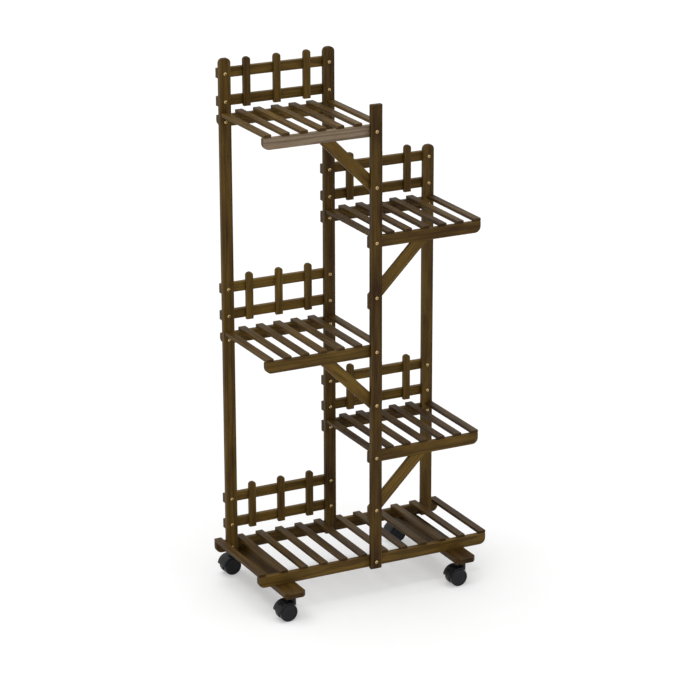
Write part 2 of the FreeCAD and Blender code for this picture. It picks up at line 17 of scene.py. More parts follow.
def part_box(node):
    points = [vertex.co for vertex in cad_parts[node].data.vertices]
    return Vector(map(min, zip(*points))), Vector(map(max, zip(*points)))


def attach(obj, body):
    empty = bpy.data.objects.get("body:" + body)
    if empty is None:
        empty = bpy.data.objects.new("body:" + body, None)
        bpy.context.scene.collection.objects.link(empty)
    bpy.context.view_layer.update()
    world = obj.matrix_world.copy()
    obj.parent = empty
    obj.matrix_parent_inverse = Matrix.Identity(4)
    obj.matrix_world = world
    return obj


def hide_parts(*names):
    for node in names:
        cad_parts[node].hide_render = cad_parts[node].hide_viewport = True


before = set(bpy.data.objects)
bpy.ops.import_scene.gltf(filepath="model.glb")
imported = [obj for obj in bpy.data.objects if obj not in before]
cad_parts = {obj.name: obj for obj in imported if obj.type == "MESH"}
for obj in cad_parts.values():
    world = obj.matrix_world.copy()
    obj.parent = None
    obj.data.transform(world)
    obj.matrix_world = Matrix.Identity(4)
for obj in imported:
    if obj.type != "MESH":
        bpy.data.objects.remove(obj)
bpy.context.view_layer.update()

LOG = logging.getLogger("flower_cart_stand")

Colour = tuple[float, float, float, float]
Pair = tuple[float, float]
Triple = tuple[float, float, float]
Outline = tuple[Pair, ...]
Inputs = dict[int | str, object]

# Pieces are made in millimetres: X from the left post's left face, Y from the front post's front face, Z from
# the floor. SHOP_TO_ROW then takes them to the row frame, in metres.
MM = 0.001
SHOP_TO_ROW = (
    Matrix.Translation((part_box("post_back_left")[0].x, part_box("post_front")[0].y, 0.0))
    @ Matrix.Scale(MM, 4)
)
SEAT_TOLERANCE_MM = 0.6
NEAR_MM = 1e-3
WELD_MM = 1e-4
BOARD_ANGLE = 35.0
MOULD_ANGLE = 50.0
IMAGE_PX = 681
SENSOR_MM = 36.0


class Way(Enum):
    """Direction of a board's grain, or of the edges that its shaped corners run along."""

    ACROSS = Vector((1.0, 0.0, 0.0))
    BACK = Vector((0.0, 1.0, 0.0))
    UP = Vector((0.0, 0.0, 1.0))


class Slot(Enum):
    """Material slots of the record."""

    WOOD = "stained_wood"
    SCREWS = "brass_screws"
    STEEL = "zinc_steel"
    NYLON = "black_nylon"
    WHEELS = "black_wheels"


class Side(Enum):
    """How far along the stand a shelf or fence reaches."""

    LEFT = "left"
    RIGHT = "right"
    FULL = "full"


# ---- nodes and finishes ----


def linear(hex_colour: str) -> Colour:
    """Turns an sRGB hex colour to linear.

    Args:
        hex_colour: six hex digits after a hash.

    Returns:
        The colour as linear RGBA with alpha 1.
    """
    parts = [int(hex_colour[i : i + 2], 16) / 255.0 for i in (1, 3, 5)]
    made = [p / 12.92 if p <= 0.04045 else ((p + 0.055) / 1.055) ** 2.4 for p in parts]
    return made[0], made[1], made[2], 1.0


def grey(value: float) -> Colour:
    """A linear grey."""
    return value, value, value, 1.0


class Graph:
    """Short ways to add nodes to a node tree; most hand on the new node's result."""

    MIX_A, MIX_B, MIX_COLOUR = 6, 7, 2

    def __init__(self, tree: NodeTree) -> None:
        """Takes the tree that the nodes join."""
        self.tree = tree

    def give(self, node: Node, inputs: Inputs) -> None:
        """Fills a node's inputs.

        Args:
            node: the node.
            inputs: a value, or an output socket to link, for each input by name or index.
        """
        for key, value in inputs.items():
            if isinstance(value, NodeSocket):
                self.tree.links.new(value, node.inputs[key])
            else:
                node.inputs[key].default_value = value

    def node(self, kind: str, inputs: Inputs, **settings: object) -> Node:
        """Adds a node.

        Args:
            kind: Blender's name of the node type.
            inputs: what its inputs get, as in give.
            settings: the node's own properties.

        Returns:
            The new node.
        """
        node = self.tree.nodes.new(kind)
        for name, value in settings.items():
            setattr(node, name, value)
        self.give(node, inputs)
        return node

    def found(self, kind: str) -> Node:
        """The tree's node of a type."""
        return next(n for n in self.tree.nodes if n.type == kind)

    def maths(self, operation: str, *values: object) -> NodeSocket:
        """The result of an operation on numbers."""
        return self.node("ShaderNodeMath", dict(enumerate(values)), operation=operation).outputs[0]

    def vector(self, operation: str, *values: object) -> NodeSocket:
        """The vector that an operation on vectors gives."""
        return self.node("ShaderNodeVectorMath", dict(enumerate(values)), operation=operation).outputs[0]

    def swung(self, base: object, share: float, noise: object) -> NodeSocket:
        """A value that a noise moves both ways, by its distance from one half times a share."""
        return self.maths("MULTIPLY_ADD", self.maths("SUBTRACT", noise, 0.5), share, base)

    def mixed(self, share: object, first: object, second: object) -> NodeSocket:
        """Two colours mixed, with a share of the second."""
        inputs = {0: share, self.MIX_A: first, self.MIX_B: second}
        return self.node("ShaderNodeMix", inputs, data_type="RGBA").outputs[self.MIX_COLOUR]

    def noise(
        self, place: object, detail: float, scale: float = 1.0, rough: float = 0.5, out: str = "Fac"
    ) -> NodeSocket:
        """A noise at a place."""
        inputs = {"Vector": place, "Scale": scale, "Detail": detail, "Roughness": rough}
        return self.node("ShaderNodeTexNoise", inputs).outputs[out]

    def ranged(self, value: object, start: float, end: float, to: Pair = (0.0, 1.0)) -> NodeSocket:
        """A value from start to end, stretched over another range."""
        inputs = {"Value": value, "From Min": start, "From Max": end, "To Min": to[0], "To Max": to[1]}
        return self.node("ShaderNodeMapRange", inputs).outputs[0]

    def attribute(self, name: str, out: str) -> NodeSocket:
        """A mesh's own attribute."""
        return self.node("ShaderNodeAttribute", {}, attribute_name=name).outputs[out]

    def bump(self, height: object, strength: float, relief_mm: float) -> NodeSocket:
        """The normal of a relief that is so many millimetres deep."""
        inputs = {"Strength": strength, "Distance": relief_mm * MM, "Height": height}
        return self.node("ShaderNodeBump", inputs).outputs[0]


def new_material(name: str) -> tuple[Material, Graph]:
    """A new material and its nodes."""
    material = bpy.data.materials.new(name)
    material.use_nodes = True
    return material, Graph(material.node_tree)


@dataclass(frozen=True)
class Finish:
    """A material whose patterns have real sizes."""

    name: str

    def build(self) -> Material:
        """Makes the material."""
        material, graph = new_material(self.name)
        graph.give(graph.found("BSDF_PRINCIPLED"), self.look(graph))
        return material

    def look(self, graph: Graph) -> Inputs:
        """What the shader's inputs get; each kind of finish says it."""
        raise NotImplementedError


@dataclass(frozen=True)
class StainedFir(Finish):
    """Planed fir, stained walnut brown and given a clear satin lacquer.

    Late wood shows as fine dark lines in unevenly stained early wood, and the stain settles in the pores and
    the end grain. The lacquer leaves a low sheen; where the tone is over 1 a painted grey reflection is mixed
    into the colour, and a painted highlight makes the arrises paler. A share is how strongly a pattern changes
    the look, a dip is how deep it lies, and late_wood gives the late wood's share at places across a ring.
    """

    name: str = "walnut_stained_fir_satin_lacquer"
    light_hex: str = "#7F6329"
    deep_hex: str = "#2F1A04"
    # Grey of the painted reflection that is mixed in where the tone is over 1.
    painted_reflection_hex: str = "#ACA6A7"
    ring_hex: str = "#231306"
    # Colour of the painted highlight along the arrises.
    arris_highlight_hex: str = "#8F7140"
    ring_mm: float = 4.6
    sway_mm: Triple = (240.0, 55.0, 55.0)
    sway_by_mm: float = 11.0
    fibre_mm: Triple = (60.0, 1.7, 1.7)
    cloud_mm: Triple = (110.0, 22.0, 22.0)
    pore_mm: Triple = (16.0, 0.45, 0.45)
    pore_range: Pair = (0.6, 0.72)
    highlight_mm: float = 1.5
    tone_share: float = 0.32
    cloud_share: float = 0.9
    fibre_share: float = 0.8
    ring_share: float = 0.42
    pore_share: float = 0.6
    end_share: float = 0.55
    highlight_share: float = 0.5
    sheen_share: float = 0.25
    ring_dip: float = 0.5
    pore_dip: float = 0.7
    relief_mm: float = 0.10
    relief_share: float = 0.6
    roughness: float = 0.5
    specular: float = 0.12
    late_wood: Outline = ((0.0, 0.25), (0.12, 0.0), (0.55, 0.12), (0.88, 1.0), (1.0, 0.9))

    def look(self, graph: Graph) -> Inputs:
        """Rings, fibres, clouds, pores, end grain, a painted highlight on the arrises and a painted grey
        reflection, on the boards' own grain coordinates.

        Args:
            graph: the material's nodes.

        Returns:
            What the shader's inputs get.
        """
        grain = graph.attribute("grain_mm", "Vector")
        tone = graph.attribute("tone", "Fac")
        rings = self._rings(graph, grain)
        fibre = graph.noise(graph.vector("DIVIDE", grain, self.fibre_mm), 4.0, rough=0.62)
        cloud = graph.noise(graph.vector("DIVIDE", grain, self.cloud_mm), 2.0)
        ducts = graph.noise(graph.vector("DIVIDE", grain, self.pore_mm), 1.0)
        pores = graph.ranged(ducts, *self.pore_range)
        depth = graph.maths("MULTIPLY_ADD", tone, self.tone_share, 0.5)
        depth = graph.swung(graph.swung(depth, self.cloud_share, cloud), self.fibre_share, fibre)
        depth = graph.node("ShaderNodeClamp", {0: depth}).outputs[0]
        colour = graph.mixed(depth, linear(self.deep_hex), linear(self.light_hex))
        # Painted reflection: how far the tone goes over 1 sets a grey sheen painted into the colour, patchy by
        # the fibres.
        reflection_mask = graph.maths("MAXIMUM", graph.maths("SUBTRACT", tone, 1.0), 0.0)
        for mask, share, hex_colour in (
            (graph.maths("MULTIPLY", reflection_mask, fibre), 1.0, self.painted_reflection_hex),
            (rings, self.ring_share, self.ring_hex),
            (pores, self.pore_share, self.ring_hex),
            (graph.attribute("end_grain", "Fac"), self.end_share, self.ring_hex),
            # Painted highlight: a paler colour along the arrises, patchy by the clouds.
            (graph.maths("MULTIPLY", self._arrises(graph), cloud), self.highlight_share, self.arris_highlight_hex),
        ):
            colour = graph.mixed(graph.maths("MULTIPLY", mask, share), colour, linear(hex_colour))
        height = graph.maths("MULTIPLY_ADD", pores, -self.pore_dip, fibre)
        height = graph.maths("MULTIPLY_ADD", rings, -self.ring_dip, height)
        return {
            "Base Color": colour,
            "Roughness": graph.swung(self.roughness, self.sheen_share, fibre),
            "Normal": graph.bump(height, self.relief_share, self.relief_mm),
            "Specular IOR Level": self.specular,
        }

    def _rings(self, graph: Graph, grain: NodeSocket) -> NodeSocket:
        """Growth rings round a pith that lies beside the board, bent by the tree's sway along the grain.

        Args:
            graph: the material's nodes.
            grain: the grain coordinates.

        Returns:
            How much late wood there is, from 0 to 1.
        """
        sway = graph.noise(graph.vector("DIVIDE", grain, self.sway_mm), 1.5, out="Color")
        by = (0.0, self.sway_by_mm, self.sway_by_mm)
        bent = graph.vector("MULTIPLY_ADD", graph.vector("SUBTRACT", sway, (0.5, 0.5, 0.5)), by, grain)
        # The ring texture turns through one ring when the distance times its scale times 20 grows by 2 pi.
        wave = graph.node(
            "ShaderNodeTexWave", {"Vector": bent, "Scale": 2.0 * math.pi / 20.0 / self.ring_mm},
            wave_type="RINGS", rings_direction="X", wave_profile="SAW",
        )
        late = graph.node("ShaderNodeValToRGB", {0: wave.outputs["Fac"]})
        band = late.color_ramp.elements
        while len(band) < len(self.late_wood):
            band.new(1.0)
        for element, (place, value) in zip(band, self.late_wood):
            element.position = place
            element.color = grey(value)
        return late.outputs["Color"]

    def _arrises(self, graph: Graph) -> NodeSocket:
        """Mask of the painted arris highlight: 1 on an arris, 0 past its width, by the middle of the three
        gaps to the faces.
        """
        beside = graph.vector("ABSOLUTE", graph.attribute("local_mm", "Vector"))
        gaps = graph.vector("SUBTRACT", graph.attribute("half_mm", "Vector"), beside)
        x, y, z = graph.node("ShaderNodeSeparateXYZ", {0: gaps}).outputs
        low = graph.maths("MINIMUM", graph.maths("MINIMUM", x, y), z)
        high = graph.maths("MAXIMUM", graph.maths("MAXIMUM", x, y), z)
        total = graph.maths("ADD", graph.maths("ADD", x, y), z)
        middle = graph.maths("SUBTRACT", graph.maths("SUBTRACT", total, low), high)
        return graph.ranged(middle, 0.0, self.highlight_mm, (1.0, 0.0))


@dataclass(frozen=True)
class MouldedNylon(Finish):
    """Injection-moulded nylon from a spark-eroded tool: near black, even, with a fine dull grain."""

    name: str = "moulded_black_nylon"
    dark_hex: str = "#08080A"
    light_hex: str = "#131215"
    grain_mm: float = 0.8
    scuff_mm: float = 14.0
    relief_mm: float = 0.05
    relief_share: float = 0.5
    roughness: float = 0.42
    sheen_share: float = 0.35
    specular: float = 0.22

    def look(self, graph: Graph) -> Inputs:
        """A fine grain under large dull scuffs, on object coordinates."""
        place = graph.node("ShaderNodeTexCoord", {}).outputs["Object"]
        fine = graph.noise(place, 3.0, 1.0 / (self.grain_mm * MM))
        scuff = graph.noise(place, 5.0, 1.0 / (self.scuff_mm * MM))
        return {
            "Base Color": graph.mixed(scuff, linear(self.dark_hex), linear(self.light_hex)),
            "Roughness": graph.swung(self.roughness, self.sheen_share, scuff),
            "Normal": graph.bump(fine, self.relief_share, self.relief_mm),
            "Specular IOR Level": self.specular,
        }


@dataclass(frozen=True)
class PlatedSteel(Finish):
    """Cold-formed steel with a bright plating: smooth, with faint uneven tarnish, and painted shade down in
    recesses.
    """

    bright_hex: str
    dull_hex: str
    roughness: float
    blotch_mm: float = 2.5
    sheen_share: float = 0.3
    # Reach, power and colour of the painted shade that darkens recesses.
    shade_reach_mm: float = 1.6
    shade_power: float = 3.0
    painted_shade_hex: str = "#171008"

    def look(self, graph: Graph) -> Inputs:
        """Tarnish on object coordinates, and painted shade where the metal is hemmed in."""
        place = graph.node("ShaderNodeTexCoord", {}).outputs["Object"]
        blotch = graph.noise(place, 4.0, 1.0 / (self.blotch_mm * MM))
        plate = graph.mixed(blotch, linear(self.dull_hex), linear(self.bright_hex))
        # Painted shade: an ambient-occlusion mask darkens the colour down in recesses, such as the cross
        # recesses.
        free = graph.node("ShaderNodeAmbientOcclusion", {"Distance": self.shade_reach_mm * MM}).outputs["AO"]
        free = graph.maths("POWER", free, self.shade_power)
        return {
            "Base Color": graph.mixed(free, linear(self.painted_shade_hex), plate),
            "Roughness": graph.swung(self.roughness, self.sheen_share, blotch),
            "Metallic": 1.0,
        }


FINISHES = {
    Slot.WOOD: StainedFir(),
    Slot.SCREWS: PlatedSteel("brass_plated_steel", "#E0C690", "#A98A54", 0.2),
    Slot.STEEL: PlatedSteel("zinc_plated_steel", "#C9CCCF", "#9CA0A4", 0.32),
    Slot.NYLON: MouldedNylon(),
    Slot.WHEELS: MouldedNylon("moulded_black_wheel_nylon", "#0E0D11", "#1B1A20", roughness=0.36),
}


@cache
def material_of(slot: Slot) -> Material:
    """The material of a slot, made once."""
    return FINISHES[slot].build()


# ---- pieces ----


def at(x: float, y: float, z: float) -> Matrix:
    """A move."""
    return Matrix.Translation((x, y, z))


def turned(degrees: float, axis: str) -> Matrix:
    """A turn about an axis."""
    return Matrix.Rotation(math.radians(degrees), 4, axis)


def placed(name: str, data: ID) -> Object:
    """Puts a new object in the scene."""
    made = bpy.data.objects.new(name, data)
    bpy.context.scene.collection.objects.link(made)
    return made


class Piece:
    """Collects finished solids, in millimetres, into one object that stands for CAD nodes."""

    def __init__(self, name: str) -> None:
        """Starts an empty piece."""
        self.name = name
        self.bm = bmesh.new()

    def take(self, bm: BMesh, matrix: Matrix | None = None) -> None:
        """Adds a solid to the piece and frees it.

        Args:
            bm: the solid.
            matrix: where it goes; where it is if None.
        """
        part = bpy.data.meshes.new("part")
        bm.to_mesh(part)
        bm.free()
        if matrix is not None:
            part.transform(matrix)
        self.bm.from_mesh(part)
        bpy.data.meshes.remove(part)

    def hand_over(self, node: str, body: str, slot: Slot) -> None:
        """Makes the object, dresses it and seats it on its body.

        Args:
            node: the CAD node that the piece stands for.
            body: the body that it rides on.
            slot: the record's material slot.
        """
        self.bm.transform(SHOP_TO_ROW)
        for face in self.bm.faces:
            face.smooth = True
        mesh = bpy.data.meshes.new(self.name)
        self.bm.to_mesh(mesh)
        self.bm.free()
        mesh.materials.append(material_of(slot))
        made = placed(self.name, mesh)
        if slot is Slot.WOOD:
            made.modifiers.new("weighted", "WEIGHTED_NORMAL").keep_sharp = True
        else:
            mesh.set_sharp_from_angle(angle=math.radians(BOARD_ANGLE))
        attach(made, body)
        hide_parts(node)
        off = self._off(mesh, node)
        LOG.info("%s: %d faces, %.2f mm from its CAD box", self.name, len(mesh.polygons), off)
        if off > SEAT_TOLERANCE_MM:
            LOG.warning("%s is off its CAD node", self.name)

    def _off(self, mesh: Mesh, node: str) -> float:
        """Largest distance, in millimetres, between the piece's box and its node's box."""
        low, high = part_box(node)
        gaps = []
        for axis in range(3):
            places = [vertex.co[axis] for vertex in mesh.vertices]
            gaps += [abs(low[axis] - min(places)), abs(high[axis] - max(places))]
        return max(gaps) / MM


def rounded_over(bm: BMesh, edges: list[BMEdge], radius: float, segments: int) -> None:
    """Rounds edges over."""
    if edges:
        bmesh.ops.bevel(
            bm, geom=edges, offset=radius, offset_type="OFFSET", segments=segments, profile=0.5,
            affect="EDGES", clamp_overlap=True, material=-1,
        )


def eased(bm: BMesh, radius: float, segments: int, degrees: float) -> None:
    """Turns the faces outwards and rounds over every edge where two meet at more than an angle."""
    bmesh.ops.recalc_face_normals(bm, faces=bm.faces)
    limit = math.radians(degrees)
    sharp = [e for e in bm.edges if len(e.link_faces) == 2 and e.calc_face_angle() > limit]
    rounded_over(bm, sharp, radius, segments)


def spun(outline: Sequence[Pair], steps: int) -> BMesh:
    """Turns an outline of (radius, height) points round the Z axis.

    Args:
        outline: the points, from the axis and back to it.
        steps: facets round the axis.

    Returns:
        The turned solid.
    """
    bm = bmesh.new()
    points = [bm.verts.new((radius, 0.0, height)) for radius, height in outline]
    edges = [bm.edges.new(pair) for pair in zip(points, points[1:])]
    bmesh.ops.spin(
        bm, geom=points + edges, cent=(0, 0, 0), axis=(0, 0, 1), dvec=(0, 0, 0), angle=2.0 * math.pi,
        steps=steps, use_merge=True, use_duplicate=False,
    )
    bmesh.ops.remove_doubles(bm, verts=bm.verts, dist=WELD_MM)
    bmesh.ops.recalc_face_normals(bm, faces=bm.faces)
    return bm


def block(bm: BMesh, size: Sequence[float], matrix: Matrix) -> None:
    """Adds a block of three sizes, turned and moved by a matrix."""
    bmesh.ops.create_cube(bm, size=1.0, matrix=matrix @ Matrix.Diagonal((*size, 1.0)))


def disc(radius: float, thick: float, segments: int, matrix: Matrix) -> BMesh:
    """A disc round the Z axis, turned and moved by a matrix."""
    bm = bmesh.new()
    bmesh.ops.create_cone(
        bm, cap_ends=True, segments=segments, radius1=radius, radius2=radius, depth=thick, matrix=matrix
    )
    return bm


def saw_off(bm: BMesh, point: Triple, outward: Triple) -> None:
    """Saws off what lies past a plane and closes the cut.

    Args:
        bm: the solid.
        point: a point of the plane.
        outward: the plane's normal, towards the waste.
    """
    geom = [*bm.verts, *bm.edges, *bm.faces]
    cut = bmesh.ops.bisect_plane(bm, geom=geom, plane_co=point, plane_no=outward, clear_outer=True, dist=1e-5)
    rim = [e for e in cut["geom_cut"] if isinstance(e, BMEdge)]
    if rim:
        bmesh.ops.contextual_create(bm, geom=rim)


@dataclass(frozen=True)
class Board:
    """One board between two corners, in millimetres.

    shaped gives the radius of its four corners seen along a direction, in the order low-low, high-low,
    high-high, low-high of the other two directions. A clipped board has its corners cut straight.
    """

    low: Triple
    high: Triple
    grain: Way
    tone: float
    along: Way = Way.BACK
    shaped: tuple[float, float, float, float] = (0.0, 0.0, 0.0, 0.0)
    clipped: bool = False
    corner_steps: int = 9

    @property
    def middle(self) -> Vector:
        """The board's middle."""
        return (Vector(self.low) + Vector(self.high)) / 2.0

    @property
    def size(self) -> Vector:
        """The board's three sizes."""
        return Vector(self.high) - Vector(self.low)

    def mesh(self) -> BMesh:
        """Cuts the board, shapes its corners and takes its arrises off."""
        bm = bmesh.new()
        block(bm, self.size, at(*self.middle))
        corners = ((self.low, self.low), (self.high, self.low), (self.high, self.high), (self.low, self.high))
        steps = 1 if self.clipped else self.corner_steps
        for corner, radius in zip(corners, self.shaped):
            if radius > 0.0:
                rounded_over(bm, self._edges_on(bm, *corner), radius, steps)
        eased(bm, STOCK.arris, STOCK.arris_steps, BOARD_ANGLE)
        return bm

    def _edges_on(self, bm: BMesh, first: Triple, second: Triple) -> list[BMEdge]:
        """The edges on the corner that lies at first, then second, across the corner direction."""
        axes = [axis for axis in range(3) if self.along.value[axis] == 0.0]
        line = [(axis, place[axis]) for axis, place in zip(axes, (first, second))]
        return [
            edge for edge in bm.edges
            if all(abs(v.co[axis] - place) < NEAR_MM for v in edge.verts for axis, place in line)
        ]

    def turn(self) -> Matrix:
        """Turns a point so that X runs along the grain, Y across the wide face and Z through the board."""
        grain = self.grain.value
        wide = max((i for i in range(3) if grain[i] == 0.0), key=lambda i: self.size[i])
        across = Vector([1.0 if i == wide else 0.0 for i in range(3)])
        return Matrix((grain, across, grain.cross(across)))

    def half(self) -> Vector:
        """Half sizes along the grain, across and through."""
        return Vector([abs(v) for v in self.turn() @ (self.size / 2.0)])


@dataclass(frozen=True)
class Tree:
    """Where in the tree a board was sawn, in millimetres, and how evenly the boards took the stain."""

    length: float = 4000.0
    pith_up: float = 24.0
    pith_near: float = 14.0
    pith_far: float = 55.0
    spread: float = 0.16

    def mark(self, bm: BMesh, turn: Matrix, half: Vector, tone: float, chance: random.Random) -> None:
        """Writes a board's grain coordinates, tone and end grain on its mesh.

        Args:
            bm: the board.
            turn: turns a point to grain, across, through.
            half: the board's half sizes in that frame.
            tone: how light the board took the stain, from -1 to 1; from 1 up to 2 it mixes in a painted grey
                reflection.
            chance: the source of the board's own pith and start.
        """
        names = ("grain_mm", "local_mm", "half_mm")
        places, inside, halves = (bm.verts.layers.float_vector.new(name) for name in names)
        tones = bm.verts.layers.float.new("tone")
        ends = bm.faces.layers.float.new("end_grain")
        turned = [turn @ v.co for v in bm.verts]
        middle = Vector([(min(p[i] for p in turned) + max(p[i] for p in turned)) / 2.0 for i in range(3)])
        start = chance.uniform(0.0, self.length)
        up = chance.uniform(-self.pith_up, self.pith_up)
        aside = chance.choice((-1, 1)) * chance.uniform(self.pith_near, self.pith_far)
        own = max(-1.0, min(2.0, tone + chance.gauss(0.0, self.spread)))
        for vertex, place in zip(bm.verts, turned):
            vertex[inside] = place - middle
            vertex[halves] = half
            vertex[places] = place - middle + Vector((start, up, aside))
            vertex[tones] = own
        grain = turn.transposed() @ Way.ACROSS.value
        for face in bm.faces:
            face[ends] = abs(face.normal.dot(grain)) ** 2


TREE = Tree()


def boards_piece(name: str, boards: Iterable[Board], node: str) -> None:
    """Makes one wooden piece from its boards.

    Args:
        name: the piece's name.
        boards: its boards.
        node: the CAD node that it stands for.
    """
    chance = random.Random(name)
    piece = Piece(name)
    for board in boards:
        bm = board.mesh()
        TREE.mark(bm, board.turn(), board.half(), board.tone, chance)
        piece.take(bm)
    piece.hand_over(node, "frame", Slot.WOOD)


@dataclass(frozen=True)
class Stock:
    """Sizes that every wooden sub-assembly shares, in millimetres."""

    pitch: float = 120.0
    post: Pair = (26.0, 10.0)
    rail: Pair = (25.0, 11.0)
    slat: Pair = (17.0, 7.0)
    bay: float = 242.0
    depth: float = 240.0
    base_over: float = 22.0
    base_z: float = 66.0
    arris: float = 0.9
    arris_steps: int = 2

    @property
    def back_rail_y(self) -> float:
        """Front face of the back rails."""
        return self.depth - self.rail[1]

    @property
    def back_post_y(self) -> float:
        """Front face of the back posts."""
        return self.back_rail_y - self.post[1]

    @property
    def posts(self) -> list[float]:
        """Left edge of each back post."""
        return [self.bay * i for i in range(3)]

    def level(self, steps: float) -> float:
        """Underside of the rails that are a number of pitches above the base."""
        return self.base_z + steps * self.pitch

    def rail_middle(self, steps: float) -> float:
        """Middle height of those rails."""
        return self.level(steps) + self.rail[0] / 2.0

    def span(self, side: Side) -> Pair:
        """Left and right end of a shelf or fence."""
        right = 2.0 * self.bay + self.post[0]
        if side is Side.LEFT:
            return 0.0, self.bay + self.post[0]
        if side is Side.RIGHT:
            return self.bay, right
        return -self.base_over, right + self.base_over


STOCK = Stock()


@dataclass(frozen=True)
class Posts:
    """Three back posts with rounded tops and the front post."""

    over_left: float = 148.0
    over_right: float = 146.0
    front_top: float = 1030.0
    front_drop: float = 3.0
    top_round: float = 10.5
    front_ease: float = 1.5
    tones: Triple = (-0.4, -0.95, -0.45)
    front_tone: float = -0.9

    def build(self) -> None:
        """Makes the four posts."""
        tall = STOCK.level(8) + self.over_left
        tops = (tall, tall, STOCK.level(6) + self.over_right)
        for place, left, top, tone in zip(("left", "middle", "right"), STOCK.posts, tops, self.tones):
            board = self._post((left, STOCK.back_post_y, STOCK.base_z), top, self.top_round, tone)
            boards_piece(f"back_post_{place}", [board], f"post_back_{place}")
        foot = (STOCK.bay, 0.0, STOCK.base_z - self.front_drop)
        front = self._post(foot, STOCK.base_z + self.front_top, self.front_ease, self.front_tone)
        boards_piece("front_post", [front], "post_front")

    def _post(self, foot: Triple, top: float, radius: float, tone: float) -> Board:
        """One post, from its foot's left front corner up, with the radius of its upper corners."""
        width, thickness = STOCK.post
        high = (foot[0] + width, foot[1] + thickness, top)
        return Board(foot, high, Way.UP, tone, shaped=(0.0, 0.0, radius, radius))


@dataclass(frozen=True)
class Shelf:
    """A shelf: a front rail, a back rail and slats. A rail's free ends have a large radius below.

    A rail's and a slat's tone differ from the shelf's by the shades; front_tone is the front rail's own tone.
    """

    name: str
    side: Side
    steps: int
    tone: float
    front_tone: float | None = None
    front_shade: float = 0.25
    back_shade: float = -0.2
    slat_shade: float = -0.45
    rail_round: float = 14.0
    rail_nose: float = 2.0
    small_slats: int = 7
    bay_slats: int = 5
    inset: float = 2.0
    bay_gap: float = 4.0

    def build(self) -> None:
        """Makes the rails and the slats."""
        front_tone = self.tone + self.front_shade if self.front_tone is None else self.front_tone
        for place, front, tone in (
            ("front", STOCK.post[1], front_tone), ("back", STOCK.back_rail_y, self.tone + self.back_shade)
        ):
            rail = self._rail(front, tone)
            boards_piece(f"{self.name}_shelf_rail_{place}", [rail], f"{self.name}_rail_{place}")
        boards_piece(f"{self.name}_shelf_slats", self._slats(), f"{self.name}_slats")

    def _rail(self, front: float, tone: float) -> Board:
        """Cuts a rail, square where it ends behind the front post or in line with a neighbour.

        Args:
            front: where its front face is.
            tone: how light it took the stain.

        Returns:
            The rail.
        """
        left, right = STOCK.span(self.side)
        height, thickness = STOCK.rail
        low = STOCK.level(self.steps)
        free_left = self.side is not Side.RIGHT
        free_right = self.side is not Side.LEFT
        shaped = (
            self.rail_round * free_left, self.rail_round * free_right,
            self.rail_nose * free_right, self.rail_nose * free_left,
        )
        high = (right, front + thickness, low + height)
        return Board((left, front, low), high, Way.ACROSS, tone, shaped=shaped)

    def _lefts(self) -> list[float]:
        """Left edge of every slat."""
        left, right = STOCK.span(self.side)
        width = STOCK.slat[0]
        if self.side is not Side.FULL:
            return evenly(left + self.inset, right - width, self.small_slats)
        found = [left]
        for bay in STOCK.posts[:2]:
            first = bay + STOCK.post[0] + self.bay_gap
            found += evenly(first, bay + STOCK.bay - self.bay_gap - width, self.bay_slats)
        return found + [right - width]

    def _slats(self) -> list[Board]:
        """The slats; one that would run into a back post stops against its face."""
        width, thickness = STOCK.slat
        low = STOCK.level(self.steps) + STOCK.rail[0]
        made = []
        for left in self._lefts():
            blocked = any(left < post + STOCK.post[0] and left + width > post for post in STOCK.posts)
            high = (left + width, STOCK.back_post_y if blocked else STOCK.depth, low + thickness)
            made.append(Board((left, STOCK.post[1], low), high, Way.BACK, self.tone + self.slat_shade))
        return made


def evenly(first: float, last: float, count: int) -> list[float]:
    """Evenly spaced values from the first to the last."""
    return [first + (last - first) / (count - 1) * i for i in range(count)]


@dataclass(frozen=True)
class Fence:
    """A picket fence: two rails behind the posts and three round-topped pickets in front of them."""

    name: str
    side: Side
    steps: int
    low: float
    tone: float
    picket_shade: float = -0.3
    rail_height: float = 21.0
    gap: float = 60.0
    picket: Triple = (16.0, 9.0, 105.0)
    picket_drop: float = 3.5
    picket_step: float = 70.0
    picket_round: float = 7.0

    @property
    def foot(self) -> float:
        """Underside of the lower rail."""
        return STOCK.level(self.steps) + self.low

    def build(self) -> None:
        """Makes the rails and the pickets."""
        left, right = STOCK.span(self.side)
        rails = [self._rail(left, right, self.foot + up) for up in (0.0, self.gap)]
        boards_piece(f"{self.name}_fence_rails", rails, f"fence_{self.name}_rails")
        first = (left + right - self.picket[0]) / 2.0
        pickets = [self._picket(first + self.picket_step * i) for i in (-1, 0, 1)]
        boards_piece(f"{self.name}_fence_pickets", pickets, f"fence_{self.name}_pickets")

    def _rail(self, left: float, right: float, low: float) -> Board:
        """One rail."""
        high = (right, STOCK.depth, low + self.rail_height)
        return Board((left, STOCK.back_rail_y, low), high, Way.ACROSS, self.tone)

    def _picket(self, left: float) -> Board:
        """One picket."""
        width, thickness, length = self.picket
        low = (left, STOCK.back_rail_y - thickness, self.foot - self.picket_drop)
        return Board(
            low, (left + width, STOCK.back_rail_y, low[2] + length), Way.UP, self.tone + self.picket_shade,
            shaped=(0.0, 0.0, self.picket_round, self.picket_round),
        )


